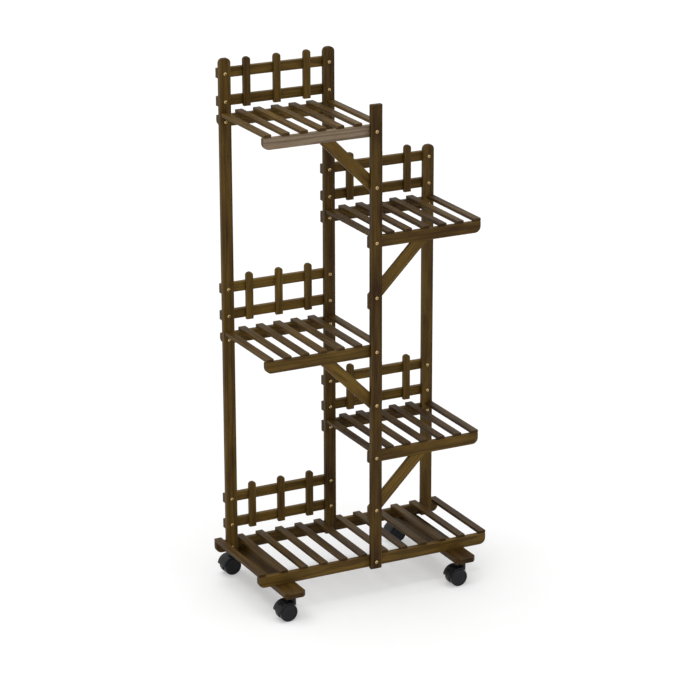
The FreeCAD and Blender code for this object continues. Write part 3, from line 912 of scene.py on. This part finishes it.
@dataclass(frozen=True)
class Brace:
    """A diagonal brace from behind the front post up to a shelf's front rail, to the right if hand is 1."""

    name: str
    step: int
    hand: int
    tone: float = 0.3
    angle: float = 45.0
    clip: float = 5.0
    long: float = 400.0

    def build(self) -> None:
        """Cuts the brace from a long board and dresses it."""
        name = f"{self.name}_brace"
        width, thickness = STOCK.post
        middle = at(STOCK.bay + width / 2.0, STOCK.post[1] + thickness / 2.0, STOCK.rail_middle(self.step))
        turn = turned(-self.hand * self.angle, "Y")
        bm = bmesh.new()
        block(bm, (self.long, thickness, width), middle @ turn)
        left = STOCK.bay if self.hand > 0 else 0.0
        right = 2.0 * STOCK.bay if self.hand > 0 else STOCK.bay + width
        saw_off(bm, (0.0, 0.0, STOCK.level(self.step + 1)), (0.0, 0.0, 1.0))
        saw_off(bm, (left, 0.0, 0.0), (-1.0, 0.0, 0.0))
        saw_off(bm, (right, 0.0, 0.0), (1.0, 0.0, 0.0))
        foot = min(v.co.z for v in bm.verts)
        saw_off(bm, (0.0, 0.0, foot + self.clip), (0.0, 0.0, -1.0))
        eased(bm, STOCK.arris, STOCK.arris_steps, BOARD_ANGLE)
        grain, across = (turn.to_3x3() @ way.value for way in (Way.ACROSS, Way.UP))
        half = Vector((self.long, width / 2.0, thickness / 2.0))
        TREE.mark(bm, Matrix((grain, across, grain.cross(across))), half, self.tone, random.Random(name))
        piece = Piece(name)
        piece.take(bm)
        piece.hand_over(f"brace_{self.name}", "frame", Slot.WOOD)


@dataclass(frozen=True)
class Crossbars:
    """The two boards under the base, with clipped corners, that carry the casters."""

    width: float = 48.0
    thickness: float = 12.0
    past_front: float = 46.0
    past_back: float = 42.0
    in_left: float = 38.0
    in_right: float = 54.0
    corner: float = 8.0
    stem_in: float = 22.0
    tones: Pair = (-0.7, -1.0)

    @property
    def lefts(self) -> Pair:
        """Left edge of each crossbar."""
        left, right = STOCK.span(Side.FULL)
        return left + self.in_left, right - self.in_right - self.width

    @property
    def low(self) -> float:
        """Underside of the crossbars."""
        return STOCK.base_z - self.thickness

    def build(self) -> None:
        """Makes both crossbars."""
        for place, left, tone in zip(("left", "right"), self.lefts, self.tones):
            board = Board(
                (left, -self.past_front, self.low),
                (left + self.width, STOCK.depth + self.past_back, STOCK.base_z),
                Way.BACK, tone, along=Way.UP, shaped=(self.corner,) * 4, clipped=True,
            )
            boards_piece(f"{place}_crossbar", [board], f"crossbar_{place}")


CROSSBARS = Crossbars()
SHELVES = (
    Shelf("base", Side.FULL, 0, -0.3),
    Shelf("right_lower", Side.RIGHT, 2, -0.8),
    Shelf("left_lower", Side.LEFT, 4, -0.05),
    Shelf("right_upper", Side.RIGHT, 6, -0.5),
    # This front rail's tone over 1 paints a grey reflection onto it.
    Shelf("left_upper", Side.LEFT, 8, 0.3, front_tone=1.75),
)
FENCES = (
    Fence("left_upper", Side.LEFT, 8, 44.5, 0.3),
    Fence("left_lower", Side.LEFT, 4, 55.0, 0.8),
    Fence("left_base", Side.LEFT, 0, 55.0, 0.2),
    Fence("right_upper", Side.RIGHT, 6, 49.0, 0.0),
    Fence("right_lower", Side.RIGHT, 2, 49.0, 0.0),
)
BRACES = (
    Brace("right_lower", 1, 1),
    Brace("left_lower", 3, -1),
    Brace("right_upper", 5, 1),
    Brace("left_upper", 7, -1),
)


@dataclass(frozen=True)
class Screws:
    """Round-head screws in the posts and countersunk ones in the crossbars, with cross recesses."""

    shank: float = 4.0
    head: float = 7.6
    head_high: float = 2.2
    head_rim: float = 0.25
    dome_steps: int = 6
    bite: float = 9.0
    tip: float = 2.5
    recess: Triple = (1.1, 4.2, 1.2)
    flat_head: float = 8.0
    flat_bite: float = 16.0
    flat_ease: float = 0.3
    proud: float = 0.1
    facets: int = 24
    bar_shares: Pair = (0.25, 0.75)

    def build(self) -> None:
        """Makes the three groups of screws."""
        groups = (
            ("front_post_screws", "screws_front_post", self._front_places(), self._round_head()),
            ("back_post_screws", "screws_back_posts", self._back_places(), self._round_head()),
            ("crossbar_screws", "screws_crossbars", self._bar_places(), self._flat_head()),
        )
        for name, node, places, master in groups:
            piece = Piece(name)
            chance = random.Random(name)
            for place in places:
                piece.take(master.copy(), place @ turned(chance.uniform(0.0, 90.0), "Z"))
            master.free()
            piece.hand_over(node, "frame", Slot.SCREWS)

    def _round_head(self) -> BMesh:
        """A round-head screw that stands on its head's underside: head up, shank down."""
        radius = self.head / 2.0
        angles = [math.radians(90.0 * i / self.dome_steps) for i in range(self.dome_steps)]
        rise = 1.0 - self.head_rim
        dome = [(radius * math.cos(a), self.head_high * (self.head_rim + rise * math.sin(a))) for a in angles]
        shank = self._shank(STOCK.post[1] + self.bite, 0.0)
        return self._recessed([*shank, (radius, 0.0), *dome, (0.0, self.head_high)])

    def _flat_head(self) -> BMesh:
        """A countersunk screw, head up at height 0 and shank down."""
        radius = self.flat_head / 2.0
        shank = self._shank(CROSSBARS.thickness + self.flat_bite, self.shank / 2.0 - radius)
        top = [(radius, 0.0), (radius - self.flat_ease, self.proud), (0.0, self.proud)]
        return self._recessed(shank + top)

    def _shank(self, length: float, top: float) -> list[Pair]:
        """The outline of a shank, from its tip up."""
        half = self.shank / 2.0
        return [(0.0, -length), (half, -length + self.tip), (half, top)]

    def _recessed(self, outline: list[Pair]) -> BMesh:
        """Turns a screw and presses a cross recess into its head."""
        width, long, deep = self.recess
        top = outline[-1][1]
        return without(spun(outline, self.facets), cross_punch(width, long, top - deep, top + deep))

    def _front_places(self) -> list[Matrix]:
        """Where the front post's screws stand: one at every pitch."""
        return [self._facing_front(STOCK.bay, 0.0, STOCK.rail_middle(step)) for step in range(9)]

    def _back_places(self) -> list[Matrix]:
        """Where the back posts' screws stand: one at every rail that crosses a post."""
        found = []
        for left in STOCK.posts:
            shelves = [shelf for shelf in SHELVES if self._crosses(shelf, left)]
            fences = [fence for fence in FENCES if self._crosses(fence, left)]
            found += [(left, STOCK.rail_middle(shelf.steps)) for shelf in shelves]
            for fence in fences:
                low = fence.foot + fence.rail_height / 2.0
                found += [(left, low), (left, low + fence.gap)]
        return [self._facing_front(left, STOCK.back_post_y, z) for left, z in found]

    def _crosses(self, part: Shelf | Fence, left: float) -> bool:
        """Whether a shelf's or fence's rails cross the whole post that starts at left."""
        start, end = STOCK.span(part.side)
        return start < left + NEAR_MM and left + STOCK.post[0] < end + NEAR_MM

    def _facing_front(self, left: float, y: float, z: float) -> Matrix:
        """A place in the middle of a post, with the screw's head towards the front."""
        return at(left + STOCK.post[0] / 2.0, y, z) @ turned(90.0, "X")

    def _bar_places(self) -> list[Matrix]:
        """Where the crossbars' screws stand, heads down."""
        half = STOCK.rail[1] / 2.0
        return [
            at(left + CROSSBARS.width * share, y + half, CROSSBARS.low) @ turned(180.0, "X")
            for left in CROSSBARS.lefts for share in self.bar_shares
            for y in (STOCK.post[1], STOCK.back_rail_y)
        ]


def cross_punch(width: float, long: float, low: float, high: float) -> BMesh:
    """A plus-shaped punch: a square post whose four sides are drawn out.

    Args:
        width: width of an arm.
        long: length across both arms.
        low: lower end.
        high: upper end.

    Returns:
        The punch as a closed solid.
    """
    bm = bmesh.new()
    block(bm, (width, width, high - low), at(0.0, 0.0, (low + high) / 2.0))
    for side in [f for f in bm.faces if abs(f.normal.z) < 0.5]:
        out = side.normal.copy()
        arm = bmesh.ops.extrude_discrete_faces(bm, faces=[side])["faces"]
        bmesh.ops.translate(bm, vec=out * (long - width) / 2.0, verts=list({v for f in arm for v in f.verts}))
    bmesh.ops.remove_doubles(bm, verts=bm.verts, dist=WELD_MM)
    bmesh.ops.recalc_face_normals(bm, faces=bm.faces)
    return bm


def without(body: BMesh, punch: BMesh) -> BMesh:
    """Takes one closed solid out of another.

    Args:
        body: the solid that is cut; it is freed.
        punch: the solid that cuts it; it is freed.

    Returns:
        What is left of the body.
    """
    parts = []
    for name, bm in (("body", body), ("punch", punch)):
        mesh = bpy.data.meshes.new(name)
        bm.to_mesh(mesh)
        bm.free()
        parts.append(placed(name, mesh))
    cut = parts[0].modifiers.new("cut", "BOOLEAN")
    cut.operation, cut.solver, cut.object = "DIFFERENCE", "EXACT", parts[1]
    bpy.context.view_layer.update()
    result = bmesh.new()
    result.from_object(parts[0], bpy.context.evaluated_depsgraph_get())
    for part in parts:
        mesh = part.data
        bpy.data.objects.remove(part)
        bpy.data.meshes.remove(mesh)
    return result


@dataclass(frozen=True)
class WheelProfile:
    """A wheel over a blind bore, from its inner face at height 0 to its outer face.

    The points of inner_edge are in from the tread and up from the inner face, those of outer_edge and of rim,
    the step down to the dished disc, in from the tread and down from the outer face, and those of button, on
    the hub, out from the axis and down from the outer face.
    """

    radius: float = 20.0
    wide: float = 11.2
    facets: int = 72
    inner_edge: Outline = ((1.3, 0.0), (0.5, 0.35), (0.12, 0.9), (0.0, 1.6))
    outer_edge: Outline = ((0.0, 3.0), (0.15, 1.9), (0.7, 0.9), (1.6, 0.25), (2.7, 0.0))
    rim: Outline = ((3.9, 0.0), (4.3, 0.15), (4.6, 0.6), (4.8, 1.15), (5.4, 1.3), (9.0, 1.05))
    button: Outline = (
        (6.6, 0.8), (6.0, 0.78), (5.75, 1.0), (5.6, 1.35), (5.2, 1.4), (4.9, 1.1), (4.6, 0.7), (3.6, 0.45),
        (1.8, 0.32), (0.0, 0.3),
    )

    def mesh(self, bore: float, deep: float) -> BMesh:
        """Turns the wheel.

        Args:
            bore: the bore's radius.
            deep: the bore's depth.

        Returns:
            The wheel round the Z axis, with its inner face at height 0.
        """
        outline = [(0.0, deep), (bore, deep), (bore, 0.0)]
        outline += [(self.radius - inward, up) for inward, up in self.inner_edge]
        outline += [(self.radius - inward, self.wide - down) for inward, down in self.outer_edge + self.rim]
        outline += [(out, self.wide - down) for out, down in self.button]
        return spun(outline, self.facets)


WHEEL = WheelProfile()


@dataclass(frozen=True)
class Caster:
    """A hooded twin-wheel swivel caster, made with its swivel axis on Z and its wheels trailing along X.

    Angles are in degrees round the wheels' axis, from the trailing side up.
    """

    where: str
    left: float
    front: float
    braked: bool
    trail: float = 15.0
    turn: float = 183.0
    web: float = 8.2
    web_bite: float = 0.5
    web_drop: float = 9.0
    face_gap: float = 0.3
    wheel_gap: float = 1.0
    hood_thick: float = 3.0
    hood_wide: float = 33.0
    hood_from: float = 8.0
    hood_to: float = 125.0
    hood_steps: int = 39
    hood_ease: float = 0.6
    small_ease: float = 0.4
    boss: float = 16.0
    boss_top: float = 50.7
    boss_foot: float = 8.0
    boss_facets: int = 40
    boss_edge: Outline = ((0.0, 0.9), (0.25, 0.3), (0.9, 0.0))
    axle: float = 6.0
    axle_long: float = 26.0
    bore_play: float = 0.05
    lever_at: float = 55.0
    lever_wide: float = 11.0
    window_reach: float = 8.5
    barrel: float = 5.0
    pin: Pair = (2.4, 2.5)
    pin_out: float = 1.0
    ear: float = 3.2
    ear_over: float = 1.1
    ear_clear: float = 0.2
    pedal: float = 9.0
    toe: float = 3.2
    plate_thick: float = 3.0
    plate_ease: float = 0.3
    tip_round: float = 1.3
    facets: int = 32
    ease_steps: int = 2
    round_steps: int = 3
    tip_steps: int = 4
    pedal_lean: float = 12.0
    press: float = 18.0
    ribs: int = 3
    rib: Triple = (0.7, 9.0, 0.8)
    rib_in: float = 2.2
    rib_step: float = 1.7

    @property
    def hood_radius(self) -> float:
        """Inner radius of the hood."""
        return WHEEL.radius + self.wheel_gap

    @property
    def hood_middle(self) -> float:
        """Radius of the hood's middle."""
        return self.hood_radius + self.hood_thick / 2.0

    @property
    def window(self) -> float:
        """Half the width of the lever's window."""
        return self.lever_wide / 2.0 + self.face_gap

    @property
    def pin_point(self) -> Vector:
        """Middle of the lever's pin."""
        return self._round(self.lever_at, self.hood_middle + self.pin_out, 0.0)

    @property
    def axis(self) -> Matrix:
        """From a solid turned about Z to the wheels' axis, with its height along +Y."""
        return at(self.trail, 0.0, WHEEL.radius) @ turned(-90.0, "X")

    @property
    def place(self) -> Matrix:
        """From the caster's own frame to the stand's."""
        return at(self.left, self.front, 0.0) @ turned(self.turn, "Z")

    def build(self) -> None:
        """Makes the hood, the wheels and the brake lever."""
        self._build_hood()
        for hand, which in ((1, "outer"), (-1, "inner")):
            self._build_wheel(hand, which)
        if self.braked:
            self._build_lever()

    def _build_wheel(self, hand: int, which: str) -> None:
        """Makes one wheel.

        Args:
            hand: 1 if its outer face looks along +Y, -1 if along -Y.
            which: the wheel's name.
        """
        bm = WHEEL.mesh(self.axle / 2.0 + self.bore_play, self.axle_long / 2.0 - self.web / 2.0)
        if hand < 0:
            bmesh.ops.scale(bm, vec=(1.0, 1.0, -1.0), verts=bm.verts)
            bmesh.ops.recalc_face_normals(bm, faces=bm.faces)
        piece = Piece(f"caster_wheel_{which}_{self.where}")
        piece.take(bm, self.place @ self.axis @ at(0.0, 0.0, hand * (self.web / 2.0 + self.face_gap)))
        node = f"caster_{self.where}_wheel_{which}"
        piece.hand_over(node, f"wheel_{self.where}_{which}", Slot.WHEELS)

    def _build_hood(self) -> None:
        """Makes the arc over the wheels, the web between them, the boss round the pin, and the ears."""
        piece = Piece(f"caster_hood_cover_{self.where}")
        ears = [self._ear(hand) for hand in (-1, 1)] if self.braked else []
        for bm in (self._arc(), self._web(), self._boss(), *ears):
            piece.take(bm, self.place)
        piece.hand_over(f"caster_{self.where}_hood", f"swivel_{self.where}", Slot.NYLON)

    def _round(self, angle: float, radius: float, y: float) -> Vector:
        """A point round the wheels' axis."""
        a = math.radians(angle)
        return Vector((self.trail + radius * math.cos(a), y, WHEEL.radius + radius * math.sin(a)))

    def _polar(self, point: Vector) -> Pair:
        """Angle and radius of a point round the wheels' axis."""
        x, z = point.x - self.trail, point.z - WHEEL.radius
        return math.degrees(math.atan2(z, x)), math.hypot(x, z)

    def _arc(self) -> BMesh:
        """The arc over the wheels, with a window for the brake lever."""
        inner, outer = self.hood_radius, self.hood_radius + self.hood_thick
        half = self.hood_wide / 2.0
        sides = (-half, -self.window, self.window, half)
        rim = [(outer, y) for y in sides] + [(inner, y) for y in reversed(sides)]
        bm = bmesh.new()
        face = bm.faces.new([bm.verts.new(self._round(self.hood_from, radius, y)) for radius, y in rim])
        bmesh.ops.spin(
            bm, geom=[*face.verts, *face.edges, face], cent=(self.trail, 0.0, WHEEL.radius),
            axis=(0.0, -1.0, 0.0), dvec=(0, 0, 0), angle=math.radians(self.hood_to - self.hood_from),
            steps=self.hood_steps, use_merge=False, use_duplicate=False,
        )
        if self.braked:
            gone = [f for f in bm.faces if self._in_window(f.calc_center_median())]
            bmesh.ops.delete(bm, geom=gone, context="FACES")
            bmesh.ops.bridge_loops(bm, edges=[e for e in bm.edges if e.is_boundary])
        eased(bm, self.hood_ease, self.round_steps, MOULD_ANGLE)
        return bm

    def _in_window(self, middle: Vector) -> bool:
        """Whether a face of the arc lies in the lever's window."""
        angle, _ = self._polar(middle)
        return abs(angle - self.lever_at) < self.window_reach and abs(middle.y) < self.window

    def _web(self) -> BMesh:
        """The web between the wheels: a disc cut off below the axle."""
        bm = disc(self.hood_radius + self.web_bite, self.web, WHEEL.facets, self.axis)
        saw_off(bm, (0.0, 0.0, WHEEL.radius - self.web_drop), (0.0, 0.0, -1.0))
        eased(bm, self.small_ease, self.ease_steps, MOULD_ANGLE)
        return bm

    def _boss(self) -> BMesh:
        """The boss round the swivel pin, whose foot follows the arc so that it stays clear of the wheels."""
        radius, foot = self.boss / 2.0, WHEEL.radius + self.boss_foot
        edge = [(radius - inward, self.boss_top - down) for inward, down in self.boss_edge]
        bm = spun([(0.0, foot), (radius, foot), *edge, (0.0, self.boss_top)], self.boss_facets)
        for vertex in bm.verts:
            beside = abs(vertex.co.x - self.trail)
            if vertex.co.z < foot + NEAR_MM and beside < self.hood_middle:
                vertex.co.z = max(foot, WHEEL.radius + math.sqrt(self.hood_middle ** 2 - beside ** 2))
        return bm

    def _ear(self, hand: int) -> BMesh:
        """An ear of the hood, beside the lever on the side of a hand, kept out of the wheel's pocket."""
        beside = at(0.0, hand * (self.window + self.ear / 2.0), 0.0)
        place = at(*self.pin_point) @ beside @ turned(-90.0, "X")
        bm = disc(self.barrel / 2.0 + self.ear_over, self.ear, self.facets, place)
        eased(bm, self.small_ease, self.ease_steps, MOULD_ANGLE)
        least = self.hood_radius + self.ear_clear
        for vertex in bm.verts:
            angle, out = self._polar(vertex.co)
            if out < least:
                vertex.co = self._round(angle, least, vertex.co.y)
        return bm

    def _build_lever(self) -> None:
        """Makes the brake lever: a barrel on two stub pins, a ribbed pedal and a toe towards the wheels."""
        piece = Piece(f"caster_brake_lever_{self.where}")
        seat = self.place @ at(*self.pin_point)
        barrel, half, stub = self.barrel / 2.0, self.lever_wide / 2.0, self.pin[0] / 2.0
        end = half + self.pin[1]
        ease = self.small_ease
        right = [(barrel, half - ease), (barrel - ease, half), (stub, half), (stub, end), (0.0, end)]
        left = [(radius, -height) for radius, height in reversed(right)]
        piece.take(spun(left + right, self.facets), seat @ turned(-90.0, "X"))
        for long, angle, ribs in (
            (self.pedal, self.lever_at - self.pedal_lean, self.ribs),
            (self.toe, self.lever_at + self.press + 180.0, 0),
        ):
            piece.take(self._plate(long, ribs), seat @ turned(-angle, "Y"))
        piece.hand_over(f"caster_{self.where}_lever", f"brake_{self.where}", Slot.NYLON)

    def _plate(self, long: float, ribs: int) -> BMesh:
        """Makes a lever's plate, from the pin outwards along X.

        Args:
            long: its length.
            ribs: how many grip ribs lie across its upper face near the tip.

        Returns:
            The plate.
        """
        bm = bmesh.new()
        block(bm, (long, self.lever_wide, self.plate_thick), at(long / 2.0, 0.0, 0.0))
        tip = [e for e in bm.edges if all(v.co.x > long - NEAR_MM for v in e.verts)]
        rounded_over(bm, tip, self.tip_round, self.tip_steps)
        eased(bm, self.plate_ease, self.ease_steps, MOULD_ANGLE)
        for i in range(ribs):
            block(bm, self.rib, at(long - self.rib_in - self.rib_step * i, 0.0, self.plate_thick / 2.0))
        return bm


def casters() -> list[Caster]:
    """The four casters, under the ends of the crossbars."""
    front = CROSSBARS.stem_in - CROSSBARS.past_front
    back = STOCK.depth + CROSSBARS.past_back - CROSSBARS.stem_in
    return [
        Caster(f"{end}_{side}", left + CROSSBARS.width / 2.0, y, end == "front")
        for end, y in (("front", front), ("back", back))
        for side, left in zip(("left", "right"), CROSSBARS.lefts)
    ]


def dress_hidden_metal() -> None:
    """Gives the stems, inserts and axles, whose CAD shape is right, their finish."""
    for name in ("caster_stems", "caster_inserts", *(f"caster_{caster.where}_axle" for caster in casters())):
        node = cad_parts[name]
        node.data.materials.clear()
        node.data.materials.append(material_of(Slot.STEEL))
        LOG.info("%s: CAD node, zinc plated", name)


# ---- room ----


@dataclass(frozen=True)
class Room:
    """A white floor that keeps the soft shadow, a white backdrop, and soft studio light."""

    floor_m: float = 30.0
    floor_hex: str = "#DADADA"
    floor_seen: float = 1.06
    ambient: float = 0.42
    front: float = 0.54
    front_from: Triple = (0.1, -0.95, 0.3)
    overhead: float = 1.3
    overhead_from: Triple = (-0.12, 0.14, 1.0)
    overhead_spread: float = 50.0

    def build(self) -> None:
        """Makes the floor, the world and the lamp."""
        bm = bmesh.new()
        bmesh.ops.create_grid(bm, x_segments=1, y_segments=1, size=self.floor_m / 2.0)
        mesh = bpy.data.meshes.new("studio_floor")
        bm.to_mesh(mesh)
        bm.free()
        mesh.materials.append(self._floor_paint())
        placed("studio_floor", mesh)
        self._sky()
        lamp = bpy.data.lights.new("overhead_softbox", "SUN")
        lamp.energy, lamp.angle = self.overhead, math.radians(self.overhead_spread)
        box = placed("overhead_softbox", lamp)
        box.rotation_mode = "QUATERNION"
        box.rotation_quaternion = Vector(self.overhead_from).to_track_quat("Z", "Y")

    def _seen(self, graph: Graph) -> NodeSocket:
        """1 for a ray that sees the room itself: from the camera, a gloss or a glass."""
        path = graph.node("ShaderNodeLightPath", {}).outputs
        either = graph.maths("MAXIMUM", path["Is Camera Ray"], path["Is Glossy Ray"])
        return graph.maths("MAXIMUM", either, path["Is Transmission Ray"])

    def _floor_paint(self) -> Material:
        """Matt white paint, filled up to white where it is seen without a shadow."""
        material, graph = new_material("matt_white_studio_paint")
        graph.tree.nodes.remove(graph.found("BSDF_PRINCIPLED"))
        albedo = linear(self.floor_hex)
        missing = max(0.0, self.floor_seen - albedo[0] * self._floor_light())
        matt = graph.node("ShaderNodeBsdfDiffuse", {"Color": albedo})
        fill = graph.maths("MULTIPLY", self._seen(graph), missing)
        glow = graph.node("ShaderNodeEmission", {"Color": grey(1.0), "Strength": fill})
        both = graph.node("ShaderNodeAddShader", {0: matt.outputs[0], 1: glow.outputs[0]})
        graph.give(graph.found("OUTPUT_MATERIAL"), {"Surface": both.outputs[0]})
        return material

    def _floor_light(self) -> float:
        """Light on the open floor, as a share of what a white wall of brightness 1 all round would give."""
        tilt = Vector(self.front_from).angle(Way.UP.value)
        front = self.front * 2.0 / 3.0 * (math.sin(tilt) + (math.pi - tilt) * math.cos(tilt)) / math.pi
        return self.ambient + front + self.overhead * Vector(self.overhead_from).normalized().z / math.pi

    def _sky(self) -> None:
        """Light from all round, more of it from the front; white where it is seen."""
        world = bpy.data.worlds.new("white_studio")
        world.use_nodes = True
        bpy.context.scene.world = world
        graph = Graph(world.node_tree)
        graph.tree.nodes.clear()
        way = graph.node("ShaderNodeTexCoord", {}).outputs["Generated"]
        ahead = tuple(Vector(self.front_from).normalized())
        facing = graph.node("ShaderNodeVectorMath", {0: way, 1: ahead}, operation="DOT_PRODUCT")
        facing = graph.maths("MAXIMUM", facing.outputs["Value"], 0.0)
        strength = graph.maths("MULTIPLY_ADD", facing, self.front, self.ambient)
        lit = graph.node("ShaderNodeBackground", {"Color": grey(1.0), "Strength": strength})
        shown = graph.node("ShaderNodeBackground", {"Color": grey(1.0), "Strength": 1.0})
        inputs = {0: self._seen(graph), 1: lit.outputs[0], 2: shown.outputs[0]}
        either = graph.node("ShaderNodeMixShader", inputs)
        graph.node("ShaderNodeOutputWorld", {"Surface": either.outputs[0]})


@dataclass(frozen=True)
class Viewpoint:
    """The photograph's viewing angle, from a long lens without shift."""

    place_mm: Triple = (-2352.62, -4983.46, 2463.71)
    azimuth: float = -26.84
    elevation: float = 18.47
    roll: float = -0.18
    focal_px: float = 2808.24
    reach_m: float = 200.0

    def build(self) -> None:
        """Makes the camera."""
        a, e, r = (math.radians(v) for v in (self.azimuth, self.elevation, self.roll))
        back = Vector((math.sin(a) * math.cos(e), -math.cos(a) * math.cos(e), math.sin(e)))
        right = Vector((math.cos(a), math.sin(a), 0.0))
        up = back.cross(right)
        right, up = math.cos(r) * right + math.sin(r) * up, math.cos(r) * up - math.sin(r) * right
        lens = bpy.data.cameras.new("camera")
        lens.sensor_width = SENSOR_MM
        lens.lens = self.focal_px * SENSOR_MM / IMAGE_PX
        lens.clip_end = self.reach_m
        camera = placed("camera", lens)
        turn = Matrix((right, up, back)).transposed().to_4x4()
        camera.matrix_world = Matrix.Translation(SHOP_TO_ROW @ Vector(self.place_mm)) @ turn
        bpy.context.scene.camera = camera


def main() -> None:
    """Builds the stand's pieces, the room and the camera."""
    logging.basicConfig(level=logging.INFO, format="%(name)s %(levelname)s %(message)s")
    bpy.context.scene.view_settings.view_transform = "Standard"
    for part in (Posts(), *SHELVES, *FENCES, *BRACES, CROSSBARS, Screws(), *casters()):
        part.build()
    dress_hidden_metal()
    Room().build()
    Viewpoint().build()


if __name__ == "__main__":
    main()
